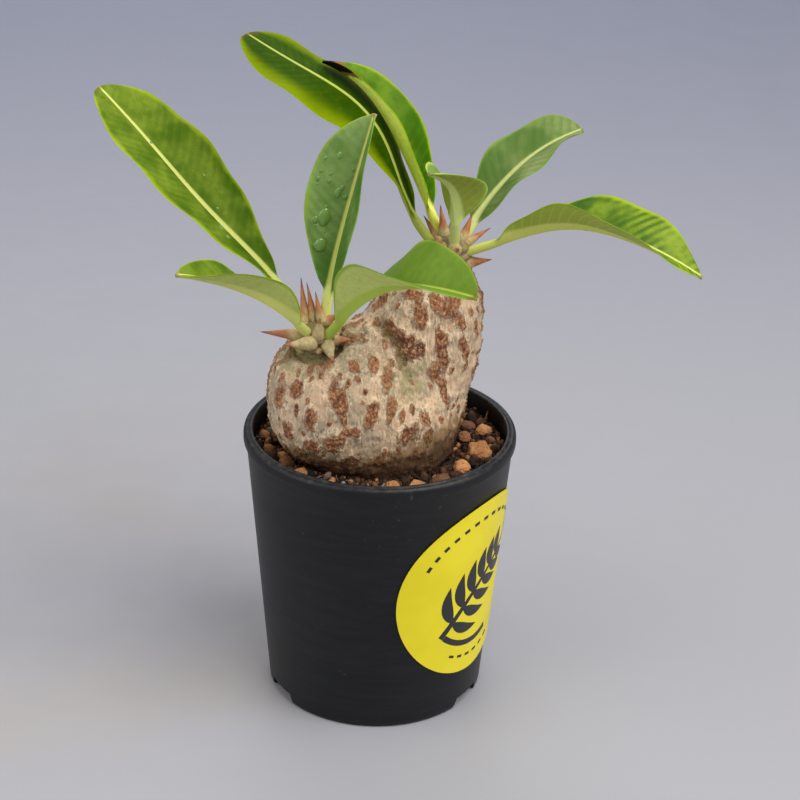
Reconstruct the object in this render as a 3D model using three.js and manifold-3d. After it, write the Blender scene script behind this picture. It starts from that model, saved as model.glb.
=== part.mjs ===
// A potted pachypodium: a swollen succulent stem with two growing tips, thorns and a few long leaves,
// standing in gritty soil in a round nursery pot with a plain round sticker.
//
// Millimetres, +Z up. Everything is laid out around the pot's own axis, front towards -Y.
// The finished group is then moved sideways so that its origin is the bottom centre of its own box.
import * as THREE from "three";
import { mergeVertices } from "three/addons/utils/BufferGeometryUtils.js";
import Module from "manifold-3d";

const wasm = await Module();
wasm.setup();

// ---------- Driving dimensions ----------

const GAP = 0.3; // clearance kept between touching pieces

const POT_HEIGHT = 78.8;
const RIM_RADIUS = 37.5; // outside of the rim
const FOOT_RADIUS = 30.2; // outside of the wall, carried down to the table
const FOOT_CHAMFER = 1; // bevel round the foot's lower edge
const POT_WALL = 1.2;
const RIM_DEPTH = 3.2; // height of the thick band round the mouth
const RIM_PROUD = 0.5; // how far the band stands out from the wall
const RIM_THICKNESS = 2.7;
const RIM_ROUND = 0.7; // rounding of the lip
const BASE_LIFT = 4; // underside of the pot's base above the table
const BASE_THICKNESS = 1.5;
const POT_SIDES = 60;
const STICKER_SIDES = 40;

const NOTCH_COUNT = 3; // drainage notches in the foot
const NOTCH_FIRST = 60; // degrees from the front
const NOTCH_HEIGHT = 3.2;
const NOTCH_WIDTH = 13; // at the table
const NOTCH_SLOPE = 1.6; // how far each end leans in

const CENTRE_HOLE_RADIUS = 5;
const RING_HOLE_RADIUS = 3.2;
const RING_HOLE_COUNT = 6;
const RING_HOLE_CIRCLE = 17;

const STICKER_RADIUS = 27.2;
const STICKER_THICKNESS = 0.3;
const STICKER_HEADING = 56; // degrees from the front, towards +X
const STICKER_HEIGHT = 40.4; // centre above the table

const SOIL_BELOW_RIM = 6.5;
const SOIL_BUMP = 0.6;

const STEM_REACH = 30; // room the stem and stones take up sideways, from the pot's axis
const MOUTH_ROOM = 4.8; // left free between them and the rim

// The plant stands on the soil and spreads to suit the pot's mouth.
const soilTop = POT_HEIGHT - SOIL_BELOW_RIM;
const spread = (RIM_RADIUS - RIM_THICKNESS - MOUTH_ROOM) / STEM_REACH;

// Centre of each growing tip.
const FRONT_CROWN = new THREE.Vector3(-17 * spread, -8 * spread, soilTop + 37.7);
const REAR_CROWN = new THREE.Vector3(18 * spread, 4 * spread, soilTop + 58.2);

// The stem's lobes: centre above the soil, half-sizes, and how far each leans sideways for every millimetre up.
const STEM_LOBES = [
  { centre: [-11, -6, 18.2], size: [19.5, 18, 20], lean: [0, 0] }, // front lobe
  { centre: [9.8, 4.5, 26.7], size: [16.4, 14.5, 28.5], lean: [0.17, 0] }, // rear lobe
  { centre: [3, -4, 7.7], size: [17, 15.5, 16], lean: [0.05, 0] }, // body they both stand on
  { centre: [2, 0, -22.3], size: [8, 8, 28], lean: [0, 0] }, // taproot
];
const LOBE_SQUARENESS = 2.3; // 2 is an ellipsoid, more is boxier
const LOBE_BLEND = 8; // how softly the lobes run into each other
const HOLLOW = { offset: [-1, -3.5, 4], radius: 10.5 }; // dip that the front crown sits in
const STEM_HEART = new THREE.Vector3(spread, 0, soilTop + 11.7); // every part of the stem is in sight from here

const CROWNS = [
  { at: FRONT_CROWN, lean: [-0.1, -0.1, 1], radius: 5.2, height: 11 },
  { at: REAR_CROWN, lean: [0.1, -0.05, 1], radius: 5.4, height: 12 },
];
const CROWN_DOME = 3.6; // how far the crown's rounded end rises above its centre

// Leaves. base: offset from the crown's centre. heading: degrees from +X towards +Y.
// pitch: degrees above the horizon. roll: turn about the leaf's own length.
// Each list runs evenly from the stalk to the tip. fold: how far each half is raised.
const LEAF_THICKNESS = 0.6;
const STALK_RADIUS = 1.6;
const LEAF_ROOT = 4; // how deep each stalk reaches into the stem before it is cut flush
const RIB_DEPTH = 0.9; // how far the midrib stands out below the blade
const LEAVES = [
  {
    name: "leaf_front_tall_left", crown: FRONT_CROWN, base: [-3.2, 2, 1], length: 88, width: 28.5,
    heading: [158, 156, 157], pitch: [59, 38, 43, 40], roll: [-5, -10, -3], fold: [7, 20, 8],
    stalk: 0.19, widest: 0.65, point: 0.51,
  },
  {
    name: "leaf_front_low_left", crown: FRONT_CROWN, base: [-3, -3, 2], length: 50, width: 17,
    heading: [222, 218, 204], pitch: [48, 34, 15], roll: [0, 17, -10], fold: [51, 34, 32],
    stalk: 0.14, widest: 0.55, point: 0.66,
  },
  {
    name: "leaf_front_upright", crown: FRONT_CROWN, base: [1.5, 1, 3], length: 62, width: 24,
    heading: [19, 17, 15], pitch: [83, 76, 75], roll: [44, 38, 29], fold: [38, 42, 44],
    stalk: 0.17, widest: 0.59, point: 0.73,
  },
  {
    name: "leaf_front_low_right", crown: FRONT_CROWN, base: [3, -3, 1], length: 68, width: 25.5,
    heading: [308, 305, 336], pitch: [49, 33, -5], roll: [-14, -5, 25], fold: [42, 42, 38],
    stalk: 0.15, widest: 0.6, point: 0.58,
  },
  {
    name: "leaf_rear_tall_left", crown: REAR_CROWN, base: [-4.5, 0, 0.5], length: 83, width: 28.5,
    heading: [161, 163, 153], pitch: [41, 70, 25, 22], roll: [14, -1, 2], fold: [31, -8, 0],
    stalk: 0.14, widest: 0.67, point: 0.43,
  },
  {
    name: "leaf_rear_tall_back", crown: REAR_CROWN, base: [-2.5, 2.5, 2], length: 62, width: 16,
    heading: [150, 154, 159], pitch: [57, 61, 51, 14], roll: [0, -2, 14], fold: [50, 53, 20],
    stalk: 0.17, widest: 0.54, point: 0.69,
  },
  {
    name: "leaf_rear_young", crown: REAR_CROWN, base: [0.5, -2.5, 3], length: 34, width: 19,
    heading: [284, 252, 222], pitch: [70, 64, 24], roll: [-7, -10, 4], fold: [21, 38, 15],
    stalk: 0.3, widest: 0.5, point: 0.8,
  },
  {
    name: "leaf_rear_short_right", crown: REAR_CROWN, base: [3.2, 2.5, 2], length: 50, width: 20.5,
    heading: [59, 35, 20], pitch: [37, 36, 15], roll: [5, 6, 8], fold: [20, 22, 27],
    stalk: 0.15, widest: 0.61, point: 0.67,
  },
  {
    name: "leaf_rear_long_right", crown: REAR_CROWN, base: [4, -1, -0.5], length: 73, width: 23,
    heading: [346, 330, 351], pitch: [24, 24, -8, -31], roll: [-12, -10, 11], fold: [51, 40, 19],
    stalk: 0.14, widest: 0.59, point: 0.82,
  },
];

// Thorns. base: offset from the crown's centre. girth: radius of the swollen foot.
const THORNS = [
  { name: "thorn_front_1", crown: FRONT_CROWN, base: [-3.2, 2.5, 2], heading: 120, pitch: 70, length: 12, girth: 1.3 },
  { name: "thorn_front_2", crown: FRONT_CROWN, base: [-1.1, 2, 2], heading: 130, pitch: 75, length: 11, girth: 1.3 },
  { name: "thorn_front_3", crown: FRONT_CROWN, base: [1, 0, 3], heading: 150, pitch: 72, length: 8.5, girth: 1.2 },
  { name: "thorn_front_4", crown: FRONT_CROWN, base: [-3.5, 0.5, 2], heading: 170, pitch: 68, length: 9, girth: 1.2 },
  { name: "thorn_front_5", crown: FRONT_CROWN, base: [0.3, -3.6, 0.6], heading: 300, pitch: 78, length: 6, girth: 1.8 },
  { name: "thorn_front_6", crown: FRONT_CROWN, base: [2, -1, 3.5], heading: 340, pitch: 40, length: 5, girth: 1.4 },
  { name: "thorn_front_7", crown: FRONT_CROWN, base: [-3.8, -1, -0.4], heading: 180, pitch: 1, length: 11.5, girth: 1.8 },
  { name: "thorn_front_8", crown: FRONT_CROWN, base: [-3.5, 1.5, 0], heading: 165, pitch: 30, length: 6.5, girth: 1 },
  { name: "thorn_front_9", crown: FRONT_CROWN, base: [-1, -4, -1.2], heading: 195, pitch: 0, length: 8, girth: 2.1 },
  { name: "thorn_front_10", crown: FRONT_CROWN, base: [2.6, -3.6, -1.6], heading: 290, pitch: -25, length: 6.5, girth: 1.9 },
  { name: "thorn_front_11", crown: FRONT_CROWN, base: [3.8, -1.5, -1.5], heading: 350, pitch: 8, length: 6, girth: 1.6 },
  { name: "thorn_rear_1", crown: REAR_CROWN, base: [-3.6, 2, 1.5], heading: 150, pitch: 50, length: 7.5, girth: 1.3 },
  { name: "thorn_rear_2", crown: REAR_CROWN, base: [-2, 0.8, 2.5], heading: 140, pitch: 78, length: 9, girth: 1.5 },
  { name: "thorn_rear_3", crown: REAR_CROWN, base: [-0.4, 2, 2.5], heading: 45, pitch: 75, length: 8, girth: 1.3 },
  { name: "thorn_rear_4", crown: REAR_CROWN, base: [2.4, 0.2, 2], heading: 30, pitch: 62, length: 8, girth: 1.4 },
  { name: "thorn_rear_5", crown: REAR_CROWN, base: [3.6, 0.8, 0.8], heading: 15, pitch: 35, length: 8, girth: 1.3 },
  { name: "thorn_rear_6", crown: REAR_CROWN, base: [3.4, -0.8, -4], heading: 355, pitch: 10, length: 7.5, girth: 1.8 },
  { name: "thorn_rear_7", crown: REAR_CROWN, base: [0.6, -3.2, 0.6], heading: 280, pitch: 20, length: 5.5, girth: 1.9 },
  { name: "thorn_rear_8", crown: REAR_CROWN, base: [-2.4, -2.6, 0.8], heading: 235, pitch: 35, length: 6, girth: 1.5 },
];

// Loose stones on the soil: place in X and Y, and width.
const STONES = [
  { name: "stone_1", at: [27.5, -4], size: 7 },
  { name: "stone_2", at: [-28.5, 9], size: 5.5 },
  { name: "stone_3", at: [-27.5, 2.2], size: 5.5 },
  { name: "stone_4", at: [22.5, -13.5], size: 5 },
  { name: "stone_5", at: [23.5, 5], size: 4.2 },
  { name: "stone_6", at: [4, -27], size: 5.5 },
  { name: "stone_7", at: [10.5, -26], size: 5 },
  { name: "stone_8", at: [17, -20.5], size: 4.8 },
  { name: "stone_9", at: [29, 10], size: 4.6 },
  { name: "stone_10", at: [24.5, 13], size: 4.2 },
  { name: "stone_11", at: [21, 21], size: 4.8 },
  { name: "stone_12", at: [-21, -20], size: 4.6 },
  { name: "stone_13", at: [-25, -12.5], size: 4.8 },
  { name: "stone_14", at: [-21, 20], size: 5.2 },
  { name: "stone_15", at: [-8, 28], size: 5 },
  { name: "stone_16", at: [9, 27.5], size: 5.4 },
];
const STONE_SUNK = 0.2; // share of a stone's height below the soil's surface

// ---------- Helpers ----------

const radians = THREE.MathUtils.degToRad;

// A closed geometry as a solid that can be joined and cut.
function solidOf(geometry) {
  const bare = geometry.clone();
  bare.deleteAttribute("normal");
  bare.deleteAttribute("uv");
  const merged = mergeVertices(bare, 1e-3);
  return new wasm.Manifold(
    new wasm.Mesh({
      numProp: 3,
      vertProperties: new Float32Array(merged.attributes.position.array),
      triVerts: new Uint32Array(merged.index.array),
    }),
  );
}

function geometryOf(solid) {
  const mesh = solid.getMesh();
  const geometry = new THREE.BufferGeometry();
  geometry.setAttribute("position", new THREE.BufferAttribute(new Float32Array(mesh.vertProperties), 3));
  geometry.setIndex(new THREE.BufferAttribute(new Uint32Array(mesh.triVerts), 1));
  geometry.computeVertexNormals();
  return geometry;
}

// Moves every vertex of a geometry by a rule.
function reshape(geometry, rule) {
  const position = geometry.attributes.position;
  const point = new THREE.Vector3();
  for (let i = 0; i < position.count; i++) {
    point.fromBufferAttribute(position, i);
    rule(point);
    position.setXYZ(i, point.x, point.y, point.z);
  }
  return geometry;
}

// A value that runs smoothly through evenly spaced ones, for share 0 to 1.
function along(values, share) {
  return new THREE.SplineCurve(values.map((v) => new THREE.Vector2(v, 0))).getPoint(share).x;
}

// A horizontal direction, in degrees from the front (-Y) towards +X.
function fromFront(degrees, radius, z) {
  const a = radians(degrees);
  return new THREE.Vector3(radius * Math.sin(a), -radius * Math.cos(a), z);
}

function material(colour, roughness) {
  return new THREE.MeshStandardMaterial({ color: colour, roughness, metalness: 0 });
}

const finish = {
  pot: material(0x1c1c1e, 0.45),
  sticker: material(0xe0d22e, 0.4),
  soil: material(0x2a1d16, 0.95),
  grit: material(0xa8703c, 0.9),
  stem: material(0xb8ab93, 0.85),
  leaf: material(0x4f8a1e, 0.5),
  thorn: material(0x9a5a36, 0.7),
};

const plant = new THREE.Group();

function addPiece(name, geometry, look) {
  const mesh = new THREE.Mesh(geometry, look);
  mesh.name = name;
  plant.add(mesh);
  return mesh;
}

// ---------- Pot ----------

// Outside radius of the pot's tapered wall at a height.
function wallRadius(z) {
  return THREE.MathUtils.lerp(FOOT_RADIUS, RIM_RADIUS - RIM_PROUD, z / (POT_HEIGHT - RIM_DEPTH));
}

function lathe(profile, sides) {
  const points = profile.map(([r, z]) => new THREE.Vector2(r, z));
  return new THREE.LatheGeometry(points, sides).rotateX(Math.PI / 2);
}

function potSolid() {
  const bandBottom = POT_HEIGHT - RIM_DEPTH;
  const innerRim = RIM_RADIUS - RIM_THICKNESS;
  const baseTop = BASE_LIFT + BASE_THICKNESS;
  const shell = solidOf(
    lathe(
      [
        [0, BASE_LIFT],
        [wallRadius(BASE_LIFT) - POT_WALL, BASE_LIFT],
        [FOOT_RADIUS - FOOT_CHAMFER - POT_WALL, 0],
        [FOOT_RADIUS - FOOT_CHAMFER, 0],
        [wallRadius(FOOT_CHAMFER), FOOT_CHAMFER],
        [wallRadius(bandBottom - RIM_PROUD), bandBottom - RIM_PROUD],
        [RIM_RADIUS, bandBottom],
        [RIM_RADIUS, POT_HEIGHT - RIM_ROUND],
        [RIM_RADIUS - RIM_ROUND, POT_HEIGHT],
        [innerRim + RIM_ROUND, POT_HEIGHT],
        [innerRim, POT_HEIGHT - RIM_ROUND],
        [innerRim, bandBottom],
        [wallRadius(bandBottom - RIM_DEPTH) - POT_WALL, bandBottom - RIM_DEPTH],
        [wallRadius(baseTop) - POT_WALL, baseTop],
        [0, baseTop],
      ],
      POT_SIDES,
    ),
  );
  return cutHoles(cutNotches(shell));
}

function cutNotches(shell) {
  const outline = new THREE.Shape();
  outline.moveTo(-NOTCH_WIDTH / 2, -1);
  outline.lineTo(NOTCH_WIDTH / 2, -1);
  outline.lineTo(NOTCH_WIDTH / 2 - NOTCH_SLOPE, NOTCH_HEIGHT);
  outline.lineTo(-NOTCH_WIDTH / 2 + NOTCH_SLOPE, NOTCH_HEIGHT);
  const reach = POT_WALL * 6;
  for (let i = 0; i < NOTCH_COUNT; i++) {
    const turn = NOTCH_FIRST + (i * 360) / NOTCH_COUNT;
    const cutter = new THREE.ExtrudeGeometry(outline, { depth: reach, bevelEnabled: false })
      .rotateX(Math.PI / 2)
      .translate(0, reach / 2 - FOOT_RADIUS, 0)
      .rotateZ(radians(turn));
    shell = shell.subtract(solidOf(cutter));
  }
  return shell;
}

function cutHoles(shell) {
  const drill = (radius, at) =>
    solidOf(
      new THREE.CylinderGeometry(radius, radius, BASE_THICKNESS * 3, 20)
        .rotateX(Math.PI / 2)
        .translate(at.x, at.y, BASE_LIFT + BASE_THICKNESS / 2),
    );
  shell = shell.subtract(drill(CENTRE_HOLE_RADIUS, new THREE.Vector3()));
  for (let i = 0; i < RING_HOLE_COUNT; i++) {
    shell = shell.subtract(drill(RING_HOLE_RADIUS, fromFront((i * 360) / RING_HOLE_COUNT, RING_HOLE_CIRCLE, 0)));
  }
  return shell;
}

// A round disc, made in rings so that it can bend, wrapped on the wall with a gap behind it.
function stickerGeometry() {
  const rings = 4;
  const shares = Array.from({ length: rings + 1 }, (_, i) => i / rings);
  const under = shares.map((share) => [STICKER_RADIUS * share, 0]);
  const over = shares.map((share) => [STICKER_RADIUS * share, 1]).reverse();
  return reshape(lathe([...under, ...over], STICKER_SIDES), (p) => {
    const height = STICKER_HEIGHT + p.y;
    const turn = STICKER_HEADING + THREE.MathUtils.radToDeg(p.x / wallRadius(STICKER_HEIGHT));
    p.copy(fromFront(turn, wallRadius(height) + GAP + STICKER_THICKNESS * p.z, height));
  });
}

// ---------- Stem ----------

// Rough distance from a point to one lobe's surface, negative inside.
function lobeDistance(p, lobe) {
  const n = LOBE_SQUARENESS;
  const up = p.z - soilTop - lobe.centre[2];
  const x = Math.abs(p.x / spread - lobe.centre[0] - lobe.lean[0] * up) / lobe.size[0];
  const y = Math.abs(p.y / spread - lobe.centre[1] - lobe.lean[1] * up) / lobe.size[1];
  const z = Math.abs(up) / lobe.size[2];
  const near = (x ** n + y ** n + z ** n) ** (1 / n);
  if (near < 1e-6) return -Math.min(...lobe.size);
  const slope = Math.hypot(x ** (n - 1) / lobe.size[0], y ** (n - 1) / lobe.size[1], z ** (n - 1) / lobe.size[2]);
  return ((near - 1) * near ** (n - 1)) / slope;
}

function softMin(a, b) {
  const share = THREE.MathUtils.clamp(0.5 + (0.5 * (b - a)) / LOBE_BLEND, 0, 1);
  return THREE.MathUtils.lerp(b, a, share) - LOBE_BLEND * share * (1 - share);
}

function stemDistance(p) {
  const lobes = STEM_LOBES.map((lobe) => lobeDistance(p, lobe)).reduce(softMin);
  const hollow = FRONT_CROWN.clone().add(new THREE.Vector3(...HOLLOW.offset));
  return -softMin(-lobes, p.distanceTo(hollow) - HOLLOW.radius);
}

// The swollen stem and taproot, grown outwards by a clearance.
function stemBody(grow) {
  const start = 80;
  return reshape(new THREE.SphereGeometry(1, 36, 24).rotateX(Math.PI / 2), (p) => {
    const direction = p.clone().normalize();
    let reach = start;
    for (let i = 0; i < 60; i++) {
      p.copy(STEM_HEART).addScaledVector(direction, reach);
      reach -= 0.8 * (stemDistance(p) - grow);
    }
    p.copy(STEM_HEART).addScaledVector(direction, reach);
  });
}

// A growing tip: a short scarred neck with a domed end.
function crownStub(crown, grow) {
  const r = crown.radius + grow, h = crown.height;
  const top = CROWN_DOME + grow;
  const profile = [[0, -h], [r * 1.2, -h], [r * 1.1, -h * 0.5], [r, -h * 0.15], [r * 0.95, top * 0.3], [r * 0.7, top * 0.75], [0, top]];
  const up = new THREE.Vector3(0, 0, 1);
  const lean = new THREE.Vector3(...crown.lean).normalize();
  return lathe(profile, 20)
    .applyQuaternion(new THREE.Quaternion().setFromUnitVectors(up, lean))
    .translate(...crown.at.toArray());
}

function stemSolid(grow) {
  return CROWNS.reduce((body, crown) => body.add(solidOf(crownStub(crown, grow))), solidOf(stemBody(grow)));
}

// ---------- Leaves ----------

// Half-width of a leaf as a share of its widest, along its length.
function bladeShape(leaf, share) {
  if (share <= leaf.stalk) return 0;
  const s = (share - leaf.stalk) / (1 - leaf.stalk);
  const rise = (leaf.widest * leaf.point) / (1 - leaf.widest); // puts the widest place at leaf.widest
  const full = leaf.widest ** rise * (1 - leaf.widest) ** leaf.point;
  return (s ** rise * (1 - s) ** leaf.point) / full;
}

// Points and directions along the leaf's midrib.
function leafSpine(leaf, steps) {
  const stations = [];
  const at = leaf.crown.clone().add(new THREE.Vector3(...leaf.base));
  for (let i = 0; i <= steps; i++) {
    const share = i / steps;
    const heading = radians(along(leaf.heading, share));
    const pitch = radians(along(leaf.pitch, share));
    const ahead = new THREE.Vector3(Math.cos(pitch) * Math.cos(heading), Math.cos(pitch) * Math.sin(heading), Math.sin(pitch));
    const side = new THREE.Vector3(Math.sin(heading), -Math.cos(heading), 0).applyAxisAngle(ahead, radians(along(leaf.roll, share)));
    if (i === 0) at.addScaledVector(ahead, -LEAF_ROOT);
    stations.push({ at: at.clone(), side, up: new THREE.Vector3().crossVectors(side, ahead) });
    at.addScaledVector(ahead, leaf.length / steps);
  }
  return stations;
}

// One leaf: a round bar bent along the midrib, flattened into a stalk and a folded blade.
function leafGeometry(leaf, grow) {
  const steps = 20;
  const spine = leafSpine(leaf, steps);
  return reshape(new THREE.CylinderGeometry(1, 1, 1, 8, steps), (p) => {
    const share = p.y + 0.5;
    const { at, side, up } = spine[Math.round(share * steps)];
    const blade = (leaf.width / 2) * bladeShape(leaf, share) + grow;
    const stalk = STALK_RADIUS * THREE.MathUtils.lerp(1, 0.35, share) + grow;
    const across = p.x * Math.max(blade, stalk);
    const fold = radians(along(leaf.fold, share)) * THREE.MathUtils.smoothstep(blade, 0, stalk * 3);
    const underside = p.z < 0 ? Math.max(0, 1 - 1.4 * Math.abs(p.x)) * RIB_DEPTH * (1 - share) : 0;
    const thick = THREE.MathUtils.lerp(stalk, LEAF_THICKNESS / 2 + grow, THREE.MathUtils.smoothstep(blade, 0, stalk * 2));
    const raised = Math.abs(across) * Math.sin(fold) + p.z * thick - underside;
    p.copy(at)
      .addScaledVector(side, across * Math.cos(fold))
      .addScaledVector(up, raised);
  });
}

// ---------- Thorns ----------

function thornGeometry(thorn, grow) {
  const g = thorn.girth + grow, l = thorn.length + grow;
  const profile = [[0, -1], [g * 0.8, -1], [g, l * 0.2], [g * 0.62, l * 0.42], [g * 0.3 + grow, l * 0.75], [0, l]];
  const heading = radians(thorn.heading), pitch = radians(thorn.pitch);
  const ahead = new THREE.Vector3(Math.cos(pitch) * Math.cos(heading), Math.cos(pitch) * Math.sin(heading), Math.sin(pitch));
  const at = thorn.crown.clone().add(new THREE.Vector3(...thorn.base));
  return lathe(profile, 8)
    .applyQuaternion(new THREE.Quaternion().setFromUnitVectors(new THREE.Vector3(0, 0, 1), ahead))
    .translate(at.x, at.y, at.z);
}

// ---------- Soil and stones ----------

// Gentle unevenness of the soil's surface.
function soilHeight(x, y) {
  return soilTop + SOIL_BUMP * (Math.sin(x * 0.37 + 1.3) * Math.cos(y * 0.41) + 0.6 * Math.sin(x * 0.83 - y * 0.67));
}

function soilGeometry() {
  const bottom = BASE_LIFT + BASE_THICKNESS + GAP;
  const inner = (z) => wallRadius(z) - POT_WALL - GAP;
  const rings = 6;
  const surface = Array.from({ length: rings }, (_, i) => [inner(soilTop) * (1 - i / rings), soilTop]);
  const profile = [[0, bottom], [inner(bottom), bottom], ...surface, [0, soilTop]];
  return reshape(lathe(profile, POT_SIDES), (p) => {
    const edge = inner(soilTop) * 0.98;
    if (p.z > bottom + 1 && Math.hypot(p.x, p.y) < edge) p.z = soilHeight(p.x, p.y);
  });
}

function stoneGeometry(stone, seed, grow) {
  const [x, y] = stone.at.map((v) => v * spread);
  const height = stone.size * 0.8;
  const centre = new THREE.Vector3(x, y, soilHeight(x, y) + height * (0.5 - STONE_SUNK));
  return reshape(new THREE.IcosahedronGeometry(1, 1), (p) => {
    const lump = 1 + 0.12 * Math.sin(3.1 * p.x + 2.3 * seed) * Math.cos(2.7 * p.y - 1.7 * seed) + 0.08 * Math.sin(4.3 * p.z + seed);
    p.multiply(new THREE.Vector3(stone.size / 2, stone.size / 2, height / 2)).multiplyScalar(lump);
    p.addScaledVector(p.clone().normalize(), grow).add(centre);
  });
}

// ---------- Build ----------

// The largest body of a solid: what is left of a piece after its neighbours have pushed into it.
function largestBody(solid) {
  return solid.decompose().reduce((most, body) => (body.volume() > most.volume() ? body : most));
}

addPiece("pot", geometryOf(potSolid()), finish.pot);
addPiece("sticker", stickerGeometry(), finish.sticker);
addPiece("stem", geometryOf(stemSolid(0)), finish.stem);

// Each new piece gives way, by the clearance, to those already in place.
let taken = stemSolid(GAP);
function fitPiece(name, makeGeometry, look) {
  addPiece(name, geometryOf(largestBody(solidOf(makeGeometry(0)).subtract(taken))), look);
  taken = taken.add(solidOf(makeGeometry(GAP)));
}

for (const leaf of LEAVES) fitPiece(leaf.name, (grow) => leafGeometry(leaf, grow), finish.leaf);
for (const thorn of THORNS) fitPiece(thorn.name, (grow) => thornGeometry(thorn, grow), finish.thorn);
STONES.forEach((stone, i) => fitPiece(stone.name, (grow) => stoneGeometry(stone, i, grow), finish.grit));
fitPiece("soil", soilGeometry, finish.soil);

const footprint = new THREE.Box3().setFromObject(plant);
plant.position.set(-(footprint.min.x + footprint.max.x) / 2, -(footprint.min.y + footprint.max.y) / 2, 0);

const pachypodium = new THREE.Group();
pachypodium.add(plant);

export default pachypodium;
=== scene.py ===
import math
import random

import bmesh
import bpy
import numpy as np
from mathutils import Matrix, Quaternion, Vector, noise
from mathutils.bvhtree import BVHTree


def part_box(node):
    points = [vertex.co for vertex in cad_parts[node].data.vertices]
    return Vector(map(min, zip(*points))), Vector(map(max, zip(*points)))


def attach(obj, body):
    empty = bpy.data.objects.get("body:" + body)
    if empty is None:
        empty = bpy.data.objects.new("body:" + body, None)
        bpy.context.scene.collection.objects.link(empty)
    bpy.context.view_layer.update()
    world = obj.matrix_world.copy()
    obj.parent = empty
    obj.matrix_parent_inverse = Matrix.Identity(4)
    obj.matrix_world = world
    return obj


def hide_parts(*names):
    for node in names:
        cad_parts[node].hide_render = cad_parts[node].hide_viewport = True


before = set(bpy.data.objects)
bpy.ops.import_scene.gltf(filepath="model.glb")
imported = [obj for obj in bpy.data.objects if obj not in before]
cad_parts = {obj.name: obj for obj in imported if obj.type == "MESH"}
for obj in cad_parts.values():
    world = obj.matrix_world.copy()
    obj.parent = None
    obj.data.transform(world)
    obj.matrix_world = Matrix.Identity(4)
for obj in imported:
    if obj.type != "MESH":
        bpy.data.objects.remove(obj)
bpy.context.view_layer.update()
mm = 0.001

# everything is laid out in millimetres around the pot's own axis, front towards -Y
potLow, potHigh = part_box("pot")
potAxis = Vector(((potLow.x + potHigh.x) / 2, (potLow.y + potHigh.y) / 2, 0))
potHeight = potHigh.z / mm
rimRadius = (potHigh.x - potLow.x) / 2 / mm
soilTop = potHeight - 6.5
frontCrown = Vector((-17, -8, soilTop + 37.7))
rearCrown = Vector((18, 4, soilTop + 58.2))


def paint(red, green, blue):
    # a colour as mixed on screen, 0 to 255, turned into linear light
    def linear(value):
        value /= 255
        return value / 12.92 if value <= 0.04045 else ((value + 0.055) / 1.055) ** 2.4
    return (linear(red), linear(green), linear(blue), 1)


def smoothStep(value, low, high):
    share = np.clip((value - low) / (high - low), 0, 1)
    return share * share * (3 - 2 * share)


def alongSpline(values, share):
    # an evenly spaced Catmull-Rom line through the values, as the part's own curves are
    count = len(values) - 1
    if count == 0:
        return values[0]
    place = min(max(share, 0), 1) * count
    first = min(int(place), count - 1) if place < count else count
    step = place - first
    pick = lambda i: values[min(max(i, 0), count)]
    a, b, c, d = pick(first - 1 if first else 0), pick(first), pick(first + 1), pick(first + 2)
    v0, v1 = (c - a) * 0.5, (d - b) * 0.5
    return (2 * b - 2 * c + v0 + v1) * step ** 3 + (-3 * b + 3 * c - 2 * v0 - v1) * step ** 2 + v0 * step + b


def meshPiece(name, points, faces, attributes=None, sharp=40):
    # points in millimetres from the pot's axis; attributes are one number or three for each point
    mesh = bpy.data.meshes.new(name)
    points = np.asarray(points, float) * mm + np.array(potAxis)
    mesh.from_pydata(points.tolist(), [], faces)
    finishMesh(mesh, attributes, sharp)
    piece = bpy.data.objects.new(name, mesh)
    bpy.context.scene.collection.objects.link(piece)
    return piece


def finishMesh(mesh, attributes, sharp):
    for label, values in (attributes or {}).items():
        values = np.asarray(values, np.float32)
        if values.ndim == 2:
            mesh.attributes.new(label, "FLOAT_VECTOR", "POINT").data.foreach_set("vector", values.ravel())
        else:
            mesh.attributes.new(label, "FLOAT", "POINT").data.foreach_set("value", values)
    mesh.polygons.foreach_set("use_smooth", [True] * len(mesh.polygons))
    mesh.set_sharp_from_angle(angle=math.radians(sharp))
    mesh.update()


def applyModifiers(piece):
    bpy.context.view_layer.update()
    done = bpy.data.meshes.new_from_object(piece.evaluated_get(bpy.context.evaluated_depsgraph_get()))
    piece.modifiers.clear()
    piece.data = done
    return piece


def facesOut(piece):
    solid = bmesh.new()
    solid.from_mesh(piece.data)
    bmesh.ops.recalc_face_normals(solid, faces=solid.faces)
    solid.to_mesh(piece.data)
    solid.free()
    return piece


def fanFaces(first, sides, centre, flip):
    # triangles from a middle point to the ring that starts at first
    pairs = [(first + s, first + (s + 1) % sides) for s in range(sides)]
    return [(centre, b, a) if flip else (centre, a, b) for a, b in pairs]


def ringFaces(rings, sides, closed=True):
    # quads between rings of points, numbered ring by ring
    around = sides if closed else sides - 1
    return [
        (r * sides + s, r * sides + (s + 1) % sides, (r + 1) * sides + (s + 1) % sides, (r + 1) * sides + s)
        for r in range(rings - 1) for s in range(around)
    ]


def latheMesh(profile, sides):
    # a closed body turned from a profile of (radius, height); radius 0 gives a point on the axis
    points, rings, faces = [], [], []
    for radius, height in profile:
        count = 1 if radius < 1e-6 else sides
        rings.append((len(points), count))
        for s in range(count):
            turn = 2 * math.pi * s / sides
            points.append((radius * math.sin(turn), -radius * math.cos(turn), height))
    for (start, count), (nextStart, nextCount) in zip(rings, rings[1:]):
        for s in range(sides):
            e = (s + 1) % sides
            if count == 1 and nextCount == 1:
                continue
            if count == 1:
                faces.append((start, nextStart + e, nextStart + s))
            elif nextCount == 1:
                faces.append((start + s, start + e, nextStart))
            else:
                faces.append((start + s, start + e, nextStart + e, nextStart + s))
    return np.array(points), faces


def addPiece(piece, slotName, material, *nodes):
    piece.data.materials.clear()
    piece.data.materials.append(material)
    if nodes:
        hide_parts(*nodes)
    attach(piece, "root")
    return piece


# shader helpers and shared effects

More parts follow.
